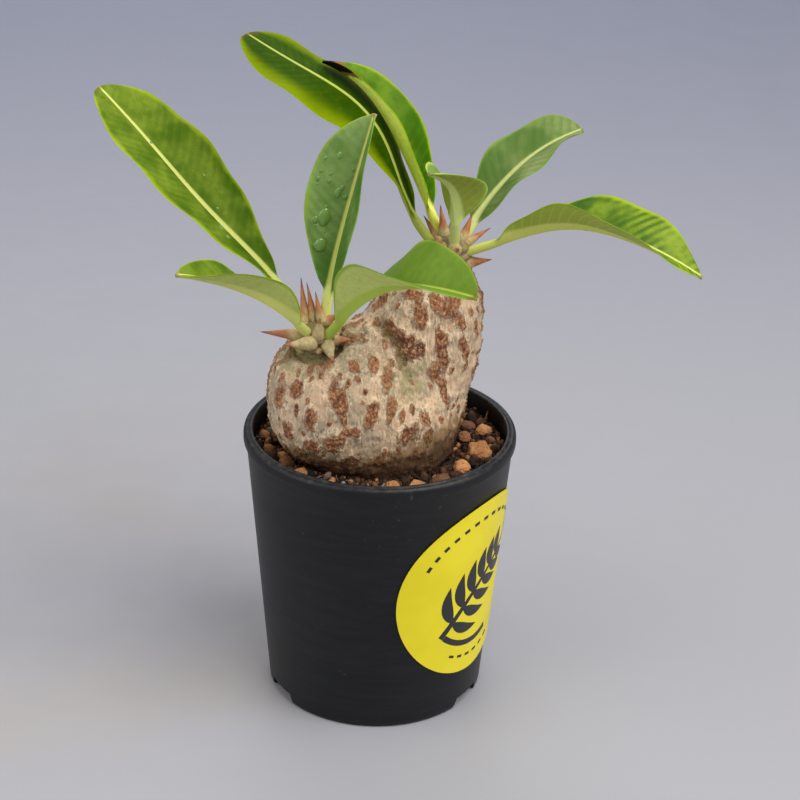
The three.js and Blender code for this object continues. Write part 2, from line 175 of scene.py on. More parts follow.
def newNode(tree, kind, settings=None, **inputs):
    made = tree.nodes.new(kind)
    for key, value in (settings or {}).items():
        setattr(made, key, value)
    for key, value in inputs.items():
        socket = made.inputs[int(key[1:])] if key[0] == "i" and key[1:].isdigit() else made.inputs[
            key.replace("_", " ")
        ]
        feed(tree, socket, value)
    return made


def feed(tree, socket, value):
    if isinstance(value, bpy.types.NodeSocket):
        tree.links.new(value, socket)
    else:
        socket.default_value = value


def calc(tree, operation, a, b=0.0, clamp=False):
    return newNode(
        tree, "ShaderNodeMath", {"operation": operation, "use_clamp": clamp}, i0=a, i1=b,
    ).outputs[0]


def times(tree, a, b):
    return calc(tree, "MULTIPLY", a, b)


def plus(tree, a, b, clamp=False):
    return calc(tree, "ADD", a, b, clamp)


def minus(tree, a, b):
    return calc(tree, "SUBTRACT", a, b)


def mixColour(tree, share, a, b):
    made = tree.nodes.new("ShaderNodeMix")
    made.data_type = "RGBA"
    feed(tree, made.inputs[0], share)
    feed(tree, made.inputs[6], a)
    feed(tree, made.inputs[7], b)
    return made.outputs[2]


def ease(tree, value, low, high, start=0.0, end=1.0):
    smooth = {"interpolation_type": "SMOOTHSTEP"}
    return newNode(tree, "ShaderNodeMapRange", smooth, i0=value, i1=low, i2=high, i3=start, i4=end).outputs[0]


def carried(tree, attribute, output="Vector"):
    # what a mesh point carries, by the attribute's name
    return newNode(tree, "ShaderNodeAttribute", {"attribute_name": attribute}).outputs[output]


def objectPlace(tree):
    return tree.nodes.new("ShaderNodeTexCoord").outputs["Object"]


def split(tree, vector):
    return newNode(tree, "ShaderNodeSeparateXYZ", None, Vector=vector).outputs


def newGroup(name, inputs, outputs):
    group = bpy.data.node_groups.new(name, "ShaderNodeTree")
    for label, kind, start in inputs:
        socket = group.interface.new_socket(name=label, in_out="INPUT", socket_type="NodeSocket" + kind)
        if start is not None:
            socket.default_value = start
    for label, kind in outputs:
        group.interface.new_socket(name=label, in_out="OUTPUT", socket_type="NodeSocket" + kind)
    entry = group.nodes.new("NodeGroupInput")
    leave = group.nodes.new("NodeGroupOutput")
    return group, entry.outputs, leave.inputs


def useGroup(tree, group, **inputs):
    made = tree.nodes.new("ShaderNodeGroup")
    made.node_tree = group
    for key, value in inputs.items():
        feed(tree, made.inputs[key.replace("_", " ")], value)
    return made.outputs


def newMaterial(name, **settings):
    material = bpy.data.materials.new(name)
    material.use_nodes = True
    tree = material.node_tree
    shader = tree.nodes["Principled BSDF"]
    for key, value in settings.items():
        shader.inputs[key.replace("_", " ")].default_value = value
    return material, tree, shader


def dress(tree, shader, colour, roughness):
    tree.links.new(colour, shader.inputs["Base Color"])
    tree.links.new(roughness, shader.inputs["Roughness"])


def addBump(tree, shader, height, strength, distance):
    bump = newNode(tree, "ShaderNodeBump", None, Strength=strength, Distance=distance, Height=height)
    tree.links.new(bump.outputs[0], shader.inputs["Normal"])


def makeGrain():
    # fine uneven grain, stretched along the height: a mask around one half, for tone, roughness and bump
    group, given, out = newGroup(
        "fineGrain",
        [
            ("Scale", "Float", 300.0), ("Stretch", "Float", 1.0), ("Detail", "Float", 4.0),
            ("Seed", "Float", 0.0),
        ],
        [("Grain", "Float"), ("Blotch", "Float")],
    )
    coordinates = objectPlace(group)
    squeeze = newNode(group, "ShaderNodeCombineXYZ", None, X=1.0, Y=1.0, Z=given["Stretch"]).outputs[0]
    place = newNode(
        group, "ShaderNodeVectorMath", {"operation": "MULTIPLY"}, i0=coordinates, i1=squeeze,
    ).outputs[0]
    fine = newNode(
        group, "ShaderNodeTexNoise", {"noise_dimensions": "4D"}, Vector=place, W=given["Seed"],
        Scale=given["Scale"], Detail=given["Detail"], Roughness=0.6,
    )
    broad = newNode(
        group, "ShaderNodeTexNoise", {"noise_dimensions": "4D"}, Vector=coordinates, W=given["Seed"],
        Scale=times(group, given["Scale"], 0.17), Detail=2.0,
    )
    group.links.new(fine.outputs[0], out["Grain"])
    group.links.new(broad.outputs[0], out["Blotch"])
    return group


fineGrain = makeGrain()


# pot

pot = {
    "sides": 192, "wall": 1.2, "baseLift": 4, "baseThickness": 1.5,
    "notches": 3, "firstNotch": 60, "notchHeight": 3.2, "notchWidth": 13, "notchSlope": 1.6,
    "centreHole": 5, "ringHole": 3.2, "ringHoles": 6, "ringCircle": 17,
    "footRadius": 30.2, "bandProud": 0.5,
    "colour": paint(19, 20, 22), "sheen": paint(27, 28, 31), "dust": paint(104, 98, 92),
}


def wallRadius(height):
    top = rimRadius - pot["bandProud"]
    return pot["footRadius"] + (top - pot["footRadius"]) * height / potHeight


def bandProfile():
    # the lip, from the outside round to the inside: a low outer ridge, a shallow valley, a round inner ridge
    top, outer = potHeight, rimRadius
    return [
        (outer - 0.5, top - 3.7), (outer - 0.1, top - 3.3), (outer, top - 2.9), (outer, top - 1.5),
        (outer - 0.12, top - 0.9),
        (outer - 0.42, top - 0.42), (outer - 0.8, top - 0.22), (outer - 1.15, top - 0.3),
        (outer - 1.4, top - 0.42),
        (outer - 1.65, top - 0.34), (outer - 1.85, top - 0.1), (outer - 2.1, top), (outer - 2.4, top - 0.04),
        (outer - 2.62, top - 0.25), (outer - 2.7, top - 0.6), (outer - 2.7, top - 2.6),
        (outer - 2.6, top - 3.2),
    ]


def makePot():
    wall, lift = pot["wall"], pot["baseLift"]
    floorTop = lift + pot["baseThickness"]
    bandLow = potHeight - 4.2
    outside = [(wallRadius(z), z) for z in (1, 2, 8, 20, 34, 48, 62, bandLow)]
    inside = [(wallRadius(z) - wall, z) for z in (bandLow - 2.2, 60, 40, 20, floorTop + 1)]
    profile = [
        (0, lift), (wallRadius(lift) - wall - 0.8, lift), (wallRadius(lift) - wall, lift - 0.6),
        (pot["footRadius"] - wall - 0.75, 0.15), (pot["footRadius"] - wall - 0.6, 0),
        (pot["footRadius"] - 0.8, 0),
        (pot["footRadius"] - 0.35, 0.25), *outside, *bandProfile(), *inside,
        (wallRadius(floorTop) - wall - 0.8, floorTop), (0, floorTop),
    ]
    points, faces = latheMesh(profile, pot["sides"])
    piece = meshPiece("pot_body", points, faces, sharp=50)
    cutter = potCutter()
    cut = piece.modifiers.new("drainage", "BOOLEAN")
    cut.object, cut.operation, cut.solver = cutter, "DIFFERENCE", "EXACT"
    applyModifiers(piece)
    bpy.data.objects.remove(cutter)
    piece.data.set_sharp_from_angle(angle=math.radians(40))
    return piece


def potCutter():
    # the notches in the foot and the holes in the base, as one tool
    mesh = bmesh.new()
    halfWide, slope, high, reach = pot["notchWidth"] / 2, pot["notchSlope"], pot["notchHeight"], 4
    for i in range(pot["notches"]):
        turn = Matrix.Rotation(math.radians(pot["firstNotch"] + 360 * i / pot["notches"]), 4, "Z")
        outline = [(-halfWide, -1), (halfWide, -1), (halfWide - slope, high), (-halfWide + slope, high)]
        near = [mesh.verts.new(turn @ Vector((x, -pot["footRadius"] - reach, z))) for x, z in outline]
        far = [mesh.verts.new(turn @ Vector((x, -pot["footRadius"] + reach, z))) for x, z in outline]
        mesh.faces.new(near)
        mesh.faces.new(far[::-1])
        for j in range(4):
            mesh.faces.new((near[j], far[j], far[(j + 1) % 4], near[(j + 1) % 4]))
    holes = [(0, 0, pot["centreHole"])]
    for i in range(pot["ringHoles"]):
        turn = 2 * math.pi * i / pot["ringHoles"]
        holes.append(
            (pot["ringCircle"] * math.sin(turn), -pot["ringCircle"] * math.cos(turn), pot["ringHole"])
        )
    for x, y, radius in holes:
        middle = Matrix.Translation((x, y, pot["baseLift"] + pot["baseThickness"] / 2))
        bmesh.ops.create_cone(
            mesh, cap_ends=True, segments=40, radius1=radius, radius2=radius, depth=4, matrix=middle,
        )
    bmesh.ops.recalc_face_normals(mesh, faces=mesh.faces)
    bmesh.ops.scale(mesh, vec=(mm, mm, mm), verts=mesh.verts)
    bmesh.ops.translate(mesh, vec=potAxis, verts=mesh.verts)
    made = bpy.data.meshes.new("potCutter")
    mesh.to_mesh(made)
    mesh.free()
    cutter = bpy.data.objects.new("potCutter", made)
    bpy.context.scene.collection.objects.link(cutter)
    return cutter


def makePlastic():
    material, tree, shader = newMaterial("blackPlastic", Roughness=0.46, Specular_IOR_Level=0.24)
    grain = useGroup(tree, fineGrain, Scale=520.0, Stretch=1.0, Seed=1.0)
    bands = useGroup(tree, fineGrain, Scale=70.0, Stretch=9.0, Seed=3.0)
    place = split(tree, objectPlace(tree))
    # painted sheen: the black is lightened towards the sheen colour in faint horizontal bands
    sheenBands = mixColour(tree, ease(tree, bands["Grain"], 0.35, 0.75), pot["colour"], pot["sheen"])
    lip = ease(tree, place[2], (potHeight - 1.2) * mm, potHeight * mm)
    specks = times(tree, ease(tree, grain["Grain"], 0.6, 0.72), ease(tree, grain["Blotch"], 0.45, 0.75))
    dusty = plus(
        tree, times(tree, specks, 0.35), times(tree, lip, ease(tree, grain["Grain"], 0.4, 0.7, 0.0, 0.25)),
        True,
    )
    dress(
        tree, shader, mixColour(tree, dusty, sheenBands, pot["dust"]),
        ease(tree, bands["Blotch"], 0.3, 0.7, 0.4, 0.52),
    )
    height = plus(tree, times(tree, grain["Grain"], 0.5), times(tree, bands["Grain"], 0.35))
    addBump(tree, shader, height, 0.3, 0.0001)
    return material


addPiece(makePot(), "pot_plastic", makePlastic(), "pot")
print("pot made")


# label on the pot's wall, with a plain printed sprig

label = {
    "radius": 27.2, "heading": 56, "height": 40.4, "thickness": 0.3, "gap": 0.3,
    "yellow": paint(232, 216, 30), "deepYellow": paint(218, 200, 14), "ink": paint(24, 26, 26),
}


def onWall(across, up, out):
    # a point of the label's flat sheet, wrapped round the wall
    height = label["height"] + up
    turn = math.radians(label["heading"]) + across / wallRadius(label["height"])
    radius = wallRadius(height) + out
    return (radius * math.sin(turn), -radius * math.cos(turn), height)


def makeLabel():
    sides, rings = 96, 12
    points, shares = [], [i / rings for i in range(1, rings + 1)]
    layers = [(share, label["gap"]) for share in shares] + [
        (share, label["gap"] + label["thickness"])
        for share in shares[::-1]
    ]
    for share, out in layers:
        for s in range(sides):
            turn = 2 * math.pi * s / sides
            points.append(
                onWall(
                    label["radius"] * share * math.cos(turn), label["radius"] * share * math.sin(turn), out,
                )
            )
    faces = ringFaces(len(layers), sides)
    for first, out, flip in (
        (0, label["gap"], True), ((len(layers) - 1) * sides, label["gap"] + label["thickness"], False),
    ):
        centre = len(points)
        points.append(onWall(0, 0, out))
        faces += fanFaces(first, sides, centre, flip)
    return meshPiece("label_sheet", points, faces, sharp=40)


def strip(centres, widths, columns=4):
    # an inked stroke: a centre line with a half-width at each point
    rows = []
    for i, ((x, y), half) in enumerate(zip(centres, widths)):
        ax, ay = centres[max(i - 1, 0)]
        bx, by = centres[min(i + 1, len(centres) - 1)]
        length = math.hypot(bx - ax, by - ay) or 1
        nx, ny = -(by - ay) / length, (bx - ax) / length
        rows.append(
            [
                (x + nx * half * (2 * c / columns - 1), y + ny * half * (2 * c / columns - 1))
                for c in range(columns + 1)
            ]
        )
    return rows


def leafStroke(x, y, length, wide, angle, bend):
    turn = math.radians(angle)
    centres, widths = [], []
    for i in range(11):
        t = i / 10
        side = bend * math.sin(math.pi * t) * length * 0.12
        centres.append(
            (
                x + math.cos(turn) * length * t - math.sin(turn) * side,
                y + math.sin(turn) * length * t + math.cos(turn) * side,
            )
        )
        widths.append(max(0.02, wide * math.sin(math.pi * t ** 0.8) ** 0.9))
    return strip(centres, widths)


def arcStroke(radius, start, end, half, count=9):
    turns = [math.radians(start + (end - start) * i / (count - 1)) for i in range(count)]
    return strip([(radius * math.cos(t), radius * math.sin(t)) for t in turns], [half] * count, 2)


def makePrint():
    # a slanted sprig of plain leaves with a dashed arc above and below
    strokes = []
    stemLine = [
        (-13.5 + 29 * t, -12.5 + 22 * t + 3.5 * math.sin(math.pi * t))
        for t in [i / 16 for i in range(17)]
    ]
    strokes.append(strip(stemLine, [0.95 - 0.55 * i / 16 for i in range(17)]))
    for i in range(6):
        x, y = stemLine[2 + 2 * i]
        size = 12.5 - 0.9 * i
        strokes.append(leafStroke(x, y, size, 1.9, 98 - 3 * i, 1))
        strokes.append(leafStroke(x, y, size * 0.9, 1.7, -22 + 2 * i, -1))
    strokes.append(leafStroke(*stemLine[-1], 7, 1.4, 38, 1))
    for i in range(13):
        strokes.append(arcStroke(22.2, 150 - 9.2 * i, 145.5 - 9.2 * i, 0.5, 5))
    for i in range(6):
        strokes.append(arcStroke(22.0, 244 + 9.2 * i, 249 + 9.2 * i, 0.4, 5))
    strokes.append(arcStroke(17.6, 226, 292, 0.9, 17))
    points, faces = [], []
    low, high = label["gap"] + label["thickness"] - 0.05, label["gap"] + label["thickness"] + 0.05
    for rows in strokes:
        start, wide, long = len(points), len(rows[0]), len(rows)
        for out in (high, low):
            points += [onWall(x, y, out) for row in rows for x, y in row]
        top = lambda r, c: start + r * wide + c
        under = lambda r, c: start + long * wide + r * wide + c
        for r in range(long - 1):
            for c in range(wide - 1):
                faces.append((top(r, c), top(r, c + 1), top(r + 1, c + 1), top(r + 1, c)))
                faces.append((under(r, c), under(r + 1, c), under(r + 1, c + 1), under(r, c + 1)))
            faces.append((top(r, 0), top(r + 1, 0), under(r + 1, 0), under(r, 0)))
            faces.append((top(r, wide - 1), under(r, wide - 1), under(r + 1, wide - 1), top(r + 1, wide - 1)))
        for c in range(wide - 1):
            faces.append((top(0, c), under(0, c), under(0, c + 1), top(0, c + 1)))
            faces.append((top(long - 1, c), top(long - 1, c + 1), under(long - 1, c + 1), under(long - 1, c)))
    piece = meshPiece("label_print", points, faces, sharp=30)
    return facesOut(piece)


def makeLabelMaterials():
    sheet, tree, shader = newMaterial("yellowSheet", Roughness=0.4, Specular_IOR_Level=0.4)
    grain = useGroup(tree, fineGrain, Scale=420.0, Seed=5.0)
    dress(
        tree, shader,
        mixColour(
            tree, ease(tree, grain["Blotch"], 0.35, 0.7, 0.0, 0.5), label["yellow"], label["deepYellow"],
        ),
        ease(tree, grain["Grain"], 0.3, 0.7, 0.34, 0.46),
    )
    addBump(tree, shader, grain["Grain"], 0.12, 0.0001)
    ink, tree, shader = newMaterial("printedInk", Roughness=0.38)
    grain = useGroup(tree, fineGrain, Scale=900.0, Seed=6.0)
    dress(
        tree, shader,
        mixColour(tree, ease(tree, grain["Grain"], 0.45, 0.8, 0.0, 0.3), label["ink"], paint(52, 54, 46)),
        ease(tree, grain["Grain"], 0.3, 0.7, 0.32, 0.46),
    )
    return sheet, ink


sheetFinish, inkFinish = makeLabelMaterials()
addPiece(makeLabel(), "sticker", sheetFinish, "sticker")
addPiece(makePrint(), "sticker", inkFinish)
print("label made")


# stem with its corky bark

bark = {
    "collarReach": 12.2, "collarWidth": 1.2, "collarHeight": 1.5, "dipReach": 10, "dipWidth": 1.1,
    "dipDepth": 1.4,
    "crease": [(-2, 39), (0.5, 37.5), (2.8, 35), (4.8, 32), (6.4, 29), (8, 26), (10, 23)], "creaseDepth": 1.9,
    "ridge": 1.5,
    "voxel": 0.38, "smooth": 90, "patchHeight": 0.5, "fibreHeight": 0.24, "wrinkleHeight": 0.5,
    "pale": paint(216, 184, 150), "grey": paint(168, 150, 124), "green": paint(146, 144, 102),
    "cream": paint(240, 216, 180),
    "rust": paint(166, 110, 74), "brown": paint(106, 62, 40), "olive": paint(124, 90, 46),
    "earth": paint(70, 46, 26),
}

# large corky patches of the front: across, height above the soil, width, height, tilt, darkness
barkPatches = [
    (8, 48, 6, 4, 10, .45), (10, 44, 5, 9, 12, .5), (2, 39, 6, 5, -30, .75), (7, 35, 8, 8, 20, .95),
    (14, 47, 3, 6, 10, .4), (18, 46, 5, 8, -15, .45), (16, 35, 4, 13, 8, .6), (14.5, 28, 4, 6, 20, .55),
    (22, 34, 3, 8, 12, .45), (17, 22, 2.4, 9, 4, .5), (25, 38, 2, 7, 5, .4), (12, 17, 3.2, 5.5, -8, .5),
    (-2, 33, 3.4, 6, -14, .4), (2, 29, 3.4, 8, -28, .3), (-2, 21, 3.6, 9.5, -16, .4),
    (3, 22, 3.2, 8.5, -14, .3), (-11, 25, 4.6, 11, 8, .5), (-18, 19, 4, 7, 4, .45),
    (-26.5, 23, 4.4, 8, -4, .5), (-22, 27, 4, 5.5, -20, .55), (-7, 16, 5, 3.6, -35, .55),
    (-12, 13, 6, 8, -30, .5), (-18, 11, 5.4, 5, 0, .55), (-28, 29, 3, 6, 0, .35), (-7, 33, 3.4, 4.4, 30, .1),
    (8, 14, 7.4, 5, 25, .75), (13, 12.5, 3, 5, -10, .7), (-7, 7, 5, 3.6, 10, .8), (0, 6.5, 5, 4, -10, .85),
    (6, 19, 2, 4, -20, .35), (5, 31, 2.4, 3.6, -30, .4), (-24, 14, 4, 6, 10, .5), (21, 41, 3, 5, 10, .4),
    (-21, 8, 6, 4, 0, .7), (5, 50, 3.4, 3, 0, .4),
]


def fineStem():
    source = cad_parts["stem"]
    piece = bpy.data.objects.new("stem_bark", source.data.copy())
    bpy.context.scene.collection.objects.link(piece)
    remesh = piece.modifiers.new("even", "REMESH")
    remesh.mode, remesh.voxel_size = "VOXEL", bark["voxel"] * mm * 1
    soften = piece.modifiers.new("soft", "SMOOTH")
    soften.factor, soften.iterations = 0.5, bark["smooth"] // 1
    return applyModifiers(piece)


def meshArrays(mesh):
    points = np.zeros(len(mesh.vertices) * 3)
    mesh.vertices.foreach_get("co", points)
    normals = np.zeros(len(mesh.vertices) * 3)
    mesh.vertices.foreach_get("normal", normals)
    return (points.reshape(-1, 3) - np.array(potAxis)) / mm, normals.reshape(-1, 3)


def patchList(points, normals, tree):
    # each patch: centre, direction across it, direction up it, half-sizes, darkness
    found, dice = [], random.Random(11)

    def add(centre, normal, wide, tall, tilt, dark):
        normal = Vector(normal).normalized()
        up = (Vector((0, 0, 1)) - normal * normal.z).normalized()
        up.rotate(Quaternion(normal, math.radians(tilt)))
        found.append(
            (
                np.array(centre), np.array(up.cross(normal)), np.array(up), np.array(normal), wide / 2,
                tall / 2, dark,
            )
        )

    for across, rise, wide, tall, tilt, dark in barkPatches:
        hit, normal, _, _ = tree.ray_cast(Vector((across, -80, soilTop + rise)), Vector((0, 1, 0)))
        if hit:
            add(hit, normal, wide, tall, tilt, dark)
    named = len(found)
    for attempt in range(2600):
        i = dice.randrange(len(points))
        small = attempt > 1500
        if points[i][2] < soilTop + 2 or points[i][2] > soilTop + 56 or (not small and normals[i][1] < -0.25):
            continue
        if min((Vector(points[i]) - frontCrown).length, (Vector(points[i]) - rearCrown).length) < 9:
            continue
        apart = [
            np.linalg.norm(points[i] - f[0]) - (1.2 if small else 2.6) - 0.5 * (f[4] + f[5])
            for f in found
        ]
        if min(apart, default=9) < 0:
            continue
        wide = dice.uniform(0.9, 1.9) if small else dice.uniform(2.6, 5.6)
        add(
            points[i], normals[i], wide, wide * dice.uniform(1.2, 2.3), dice.uniform(-25, 25),
            dice.uniform(0.15, 0.75),
        )
        if len(found) > named + 190:
            break
    return found


def makeStem():
    piece = fineStem()
    points, normals = meshArrays(piece.data)
    triangles = [tuple(p.vertices) for p in piece.data.polygons]
    tree = BVHTree.FromPolygons([tuple(p) for p in points], triangles)
    patches = patchList(points, normals, tree)
    field = np.full(len(points), -1.0)
    tone = np.full(len(points), 0.5)
    waver = np.array([noise.fractal(Vector((x * 0.5, y * 0.5, z * 0.26)), 0.9, 2.2, 3) for x, y, z in points])
    for centre, across, up, normal, wide, tall, dark in patches:
        away = points - centre
        inside = np.abs(away @ normal) < 5
        reach = np.sqrt((away @ across / wide) ** 2 + (away @ up / tall) ** 2)
        value = np.where(inside, 1 - reach + waver * 0.5, -1)
        better = value > field
        field[better], tone[better] = value[better], dark
    raised = np.zeros(len(points))
    for i, (x, y, z) in enumerate(points):
        fibre = noise.fractal(Vector((x * 1.3, y * 1.3, z * 0.34)), 0.8, 2.1, 3)
        wrinkle = noise.fractal(Vector((x * 0.2, y * 0.2, z * 0.33 + 7)), 1, 2, 2)
        crust = noise.fractal(Vector((x * 1.5 + 4, y * 1.5, z * 1.1)), 0.7, 2.2, 3)
        cork = float(smoothStep(field[i], -0.05, 0.25))
        rim = math.exp(-((field[i] - 0.02) / 0.13) ** 2)
        raised[i] = bark["fibreHeight"] * fibre * (1 - 0.5 * cork) + bark["wrinkleHeight"] * wrinkle
        raised[i] += bark["patchHeight"] * cork * (0.55 + 0.9 * crust) + 0.3 * rim * (0.35 + crust)
    buried = smoothStep(points[:, 2], soilTop - 6, soilTop - 1)
    neck = np.zeros(len(points))
    scar = np.zeros(len(points))
    for crown, reach in ((frontCrown, 9.5), (rearCrown, 9)):
        away = np.linalg.norm(points - np.array(crown + Vector((0, 0, -3))), axis=1)
        neck = np.maximum(neck, 1 - smoothStep(away, reach - 3, reach + 2))
        scar = np.maximum(
            scar, smoothStep(away, reach - 5, reach - 1) * (1 - smoothStep(away, reach + 1, reach + 4)),
        )
    # the green hollow between the lobes, and the collar with its dip round the front crown
    saddle = tree.ray_cast(Vector((6.5, -80, soilTop + 27)), Vector((0, 1, 0)))[0]
    scar = np.maximum(scar, np.exp(-(np.linalg.norm(points - np.array(saddle), axis=1) / 6) ** 2))
    hollow = np.linalg.norm(points - np.array(frontCrown + Vector((-1, -3.5, 4))), axis=1)
    collar = np.exp(-((hollow - bark["collarReach"]) / bark["collarWidth"]) ** 2)
    ripple = 1 - smoothStep(hollow, 10.6, 14)
    scar = np.maximum(scar, 1 - smoothStep(hollow, 9.5, 12)) * (1 - 0.9 * collar)
    raised -= bark["dipDepth"] * np.exp(-((hollow - bark["dipReach"]) / bark["dipWidth"]) ** 2)
    field = np.maximum(field, np.where(collar > 0.45, -0.14 + waver * 0.12, -1))
    raised = raised * (1 - 0.6 * neck) + 0.35 * neck * np.sin((points[:, 2]) * 2.6)
    raised += bark["collarHeight"] * collar * (1 + 0.5 * waver) + 0.26 * ripple * np.sin(
        hollow * 5 + waver * 2
    )
    # the fold where the front lobe stands before the rear one: a ridge on one side, a groove on the other,
    # and painted shade along the groove
    crease = np.zeros(len(points))
    shade = np.zeros(len(points))
    across = np.array((0.8, 0, 0.6))
    for i in range(25):
        x, rise = (np.interp(i / 24 * 6, range(7), column) for column in zip(*bark["crease"]))
        dip = tree.ray_cast(Vector((x, -80, soilTop + rise)), Vector((0, 1, 0)))[0]
        if not dip:
            continue
        away = points - np.array(dip)
        over = away @ across
        beside = np.linalg.norm(away - over[:, None] * across, axis=1)
        near = np.exp(-(beside / 1.6) ** 2) * min(1, (24 - i) / 7)
        bent = bark["ridge"] * np.exp(
            -((over + 1.8) / 1.5) ** 2
        ) - bark["creaseDepth"] * np.exp(-((over - 1.4) / 1.9) ** 2)
        crease = np.where(np.abs(near * bent) > np.abs(crease), near * bent, crease)
        shade = np.maximum(shade, near * np.exp(-((over - 1.2) / 1.5) ** 2))
    raised += crease
    moved = points + normals * (raised * buried)[:, None]
    piece.data.vertices.foreach_set("co", (moved * mm + np.array(potAxis)).ravel())
    wet = 1 - smoothStep(points[:, 2] - soilTop + waver * 3 - np.clip(points[:, 0], 0, 14) * 0.35, 1, 14)
    # painted shade: the crease's groove takes the crown neck's darker olive
    neck = np.maximum(neck, 0.8 * shade)
    zones = np.stack([wet, neck, scar], axis=1)
    finishMesh(piece.data, {"corkField": field, "corkTone": tone, "barkZones": zones}, 70)
    return piece, tree


def makeBark():
    material, tree, shader = newMaterial("corkyBark", Roughness=0.82, Specular_IOR_Level=0.3)
    field = carried(tree, "corkField", "Fac")
    tone = carried(tree, "corkTone", "Fac")
    zones = split(tree, carried(tree, "barkZones"))
    fibre = useGroup(tree, fineGrain, Scale=1500.0, Stretch=0.26, Detail=5.0, Seed=2.0)
    crust = useGroup(tree, fineGrain, Scale=1300.0, Stretch=0.75, Detail=5.0, Seed=4.0)
    broad = useGroup(tree, fineGrain, Scale=600.0, Stretch=0.8, Seed=9.0)
    warm = useGroup(tree, fineGrain, Scale=900.0, Stretch=0.5, Seed=15.0)
    skin = mixColour(tree, ease(tree, broad["Blotch"], 0.36, 0.66), bark["pale"], bark["grey"])
    skin = mixColour(
        tree, ease(tree, plus(tree, broad["Grain"], times(tree, zones[2], 0.2)), 0.52, 0.72, 0.0, 0.7), skin,
        bark["green"],
    )
    skin = mixColour(tree, ease(tree, warm["Blotch"], 0.5, 0.68, 0.0, 0.5), skin, paint(188, 146, 112))
    skin = mixColour(tree, ease(tree, fibre["Grain"], 0.52, 0.68, 0.0, 0.6), skin, bark["cream"])
    skin = mixColour(tree, ease(tree, fibre["Grain"], 0.47, 0.34, 0.0, 0.6), skin, paint(132, 106, 78))
    specks = useGroup(tree, fineGrain, Scale=2600.0, Stretch=0.7, Seed=17.0)
    skin = mixColour(
        tree,
        times(tree, ease(tree, specks["Grain"], 0.6, 0.68), ease(tree, specks["Blotch"], 0.4, 0.6, 0.2, 0.9)),
        skin, paint(124, 86, 58),
    )
    edge = plus(tree, field, times(tree, minus(tree, crust["Grain"], 0.5), 1.0))
    edge = plus(tree, edge, times(tree, minus(tree, fibre["Grain"], 0.5), 1.2))
    cork = mixColour(
        tree, ease(tree, plus(tree, tone, times(tree, minus(tree, broad["Grain"], 0.5), 2.0)), 0.2, 1.0),
        bark["rust"], bark["brown"],
    )
    cork = mixColour(tree, ease(tree, crust["Grain"], 0.5, 0.62, 0.0, 0.8), cork, paint(210, 160, 116))
    cork = mixColour(tree, ease(tree, crust["Grain"], 0.47, 0.36, 0.0, 0.9), cork, paint(78, 46, 30))
    peel = times(tree, ease(tree, edge, -0.4, -0.08), ease(tree, edge, 0.28, 0.02))
    colour = mixColour(tree, ease(tree, edge, -0.06, 0.2), skin, cork)
    colour = mixColour(
        tree, times(tree, peel, ease(tree, fibre["Blotch"], 0.4, 0.6, 0.25, 0.85)), colour, bark["cream"],
    )
    colour = mixColour(
        tree, times(tree, ease(tree, edge, -0.7, 0.0), ease(tree, fibre["Grain"], 0.46, 0.36, 0.0, 0.6)),
        colour, paint(104, 70, 46),
    )
    colour = mixColour(
        tree, times(tree, zones[2], ease(tree, broad["Grain"], 0.35, 0.65, 0.1, 0.6)), colour,
        paint(150, 144, 102),
    )
    # the crown necks' grey-olive, which also serves as painted shade along the crease between the lobes
    colour = mixColour(
        tree, times(tree, zones[1], ease(tree, broad["Grain"], 0.3, 0.6, 0.6, 0.95)), colour,
        paint(122, 108, 66),
    )
    damp = plus(tree, zones[0], times(tree, minus(tree, fibre["Blotch"], 0.5), 0.6), True)
    colour = mixColour(tree, ease(tree, damp, 0.1, 0.7, 0.0, 0.8), colour, bark["olive"])
    colour = mixColour(tree, ease(tree, damp, 0.65, 1.0, 0.0, 0.85), colour, bark["earth"])
    dress(tree, shader, colour, ease(tree, crust["Grain"], 0.3, 0.7, 0.7, 0.95))
    height = plus(
        tree, times(tree, fibre["Grain"], 0.7),
        times(tree, crust["Grain"], ease(tree, edge, -0.1, 0.2, 0.3, 1.2)),
    )
    addBump(tree, shader, height, 0.95, 0.0009)
    return material


stemPiece, stemTree = makeStem()
addPiece(stemPiece, "bark", makeBark(), "stem")
print("stem made", len(stemPiece.data.vertices), "points")


# leaves: the same spines as the part's, with a fine blade, midrib and veins

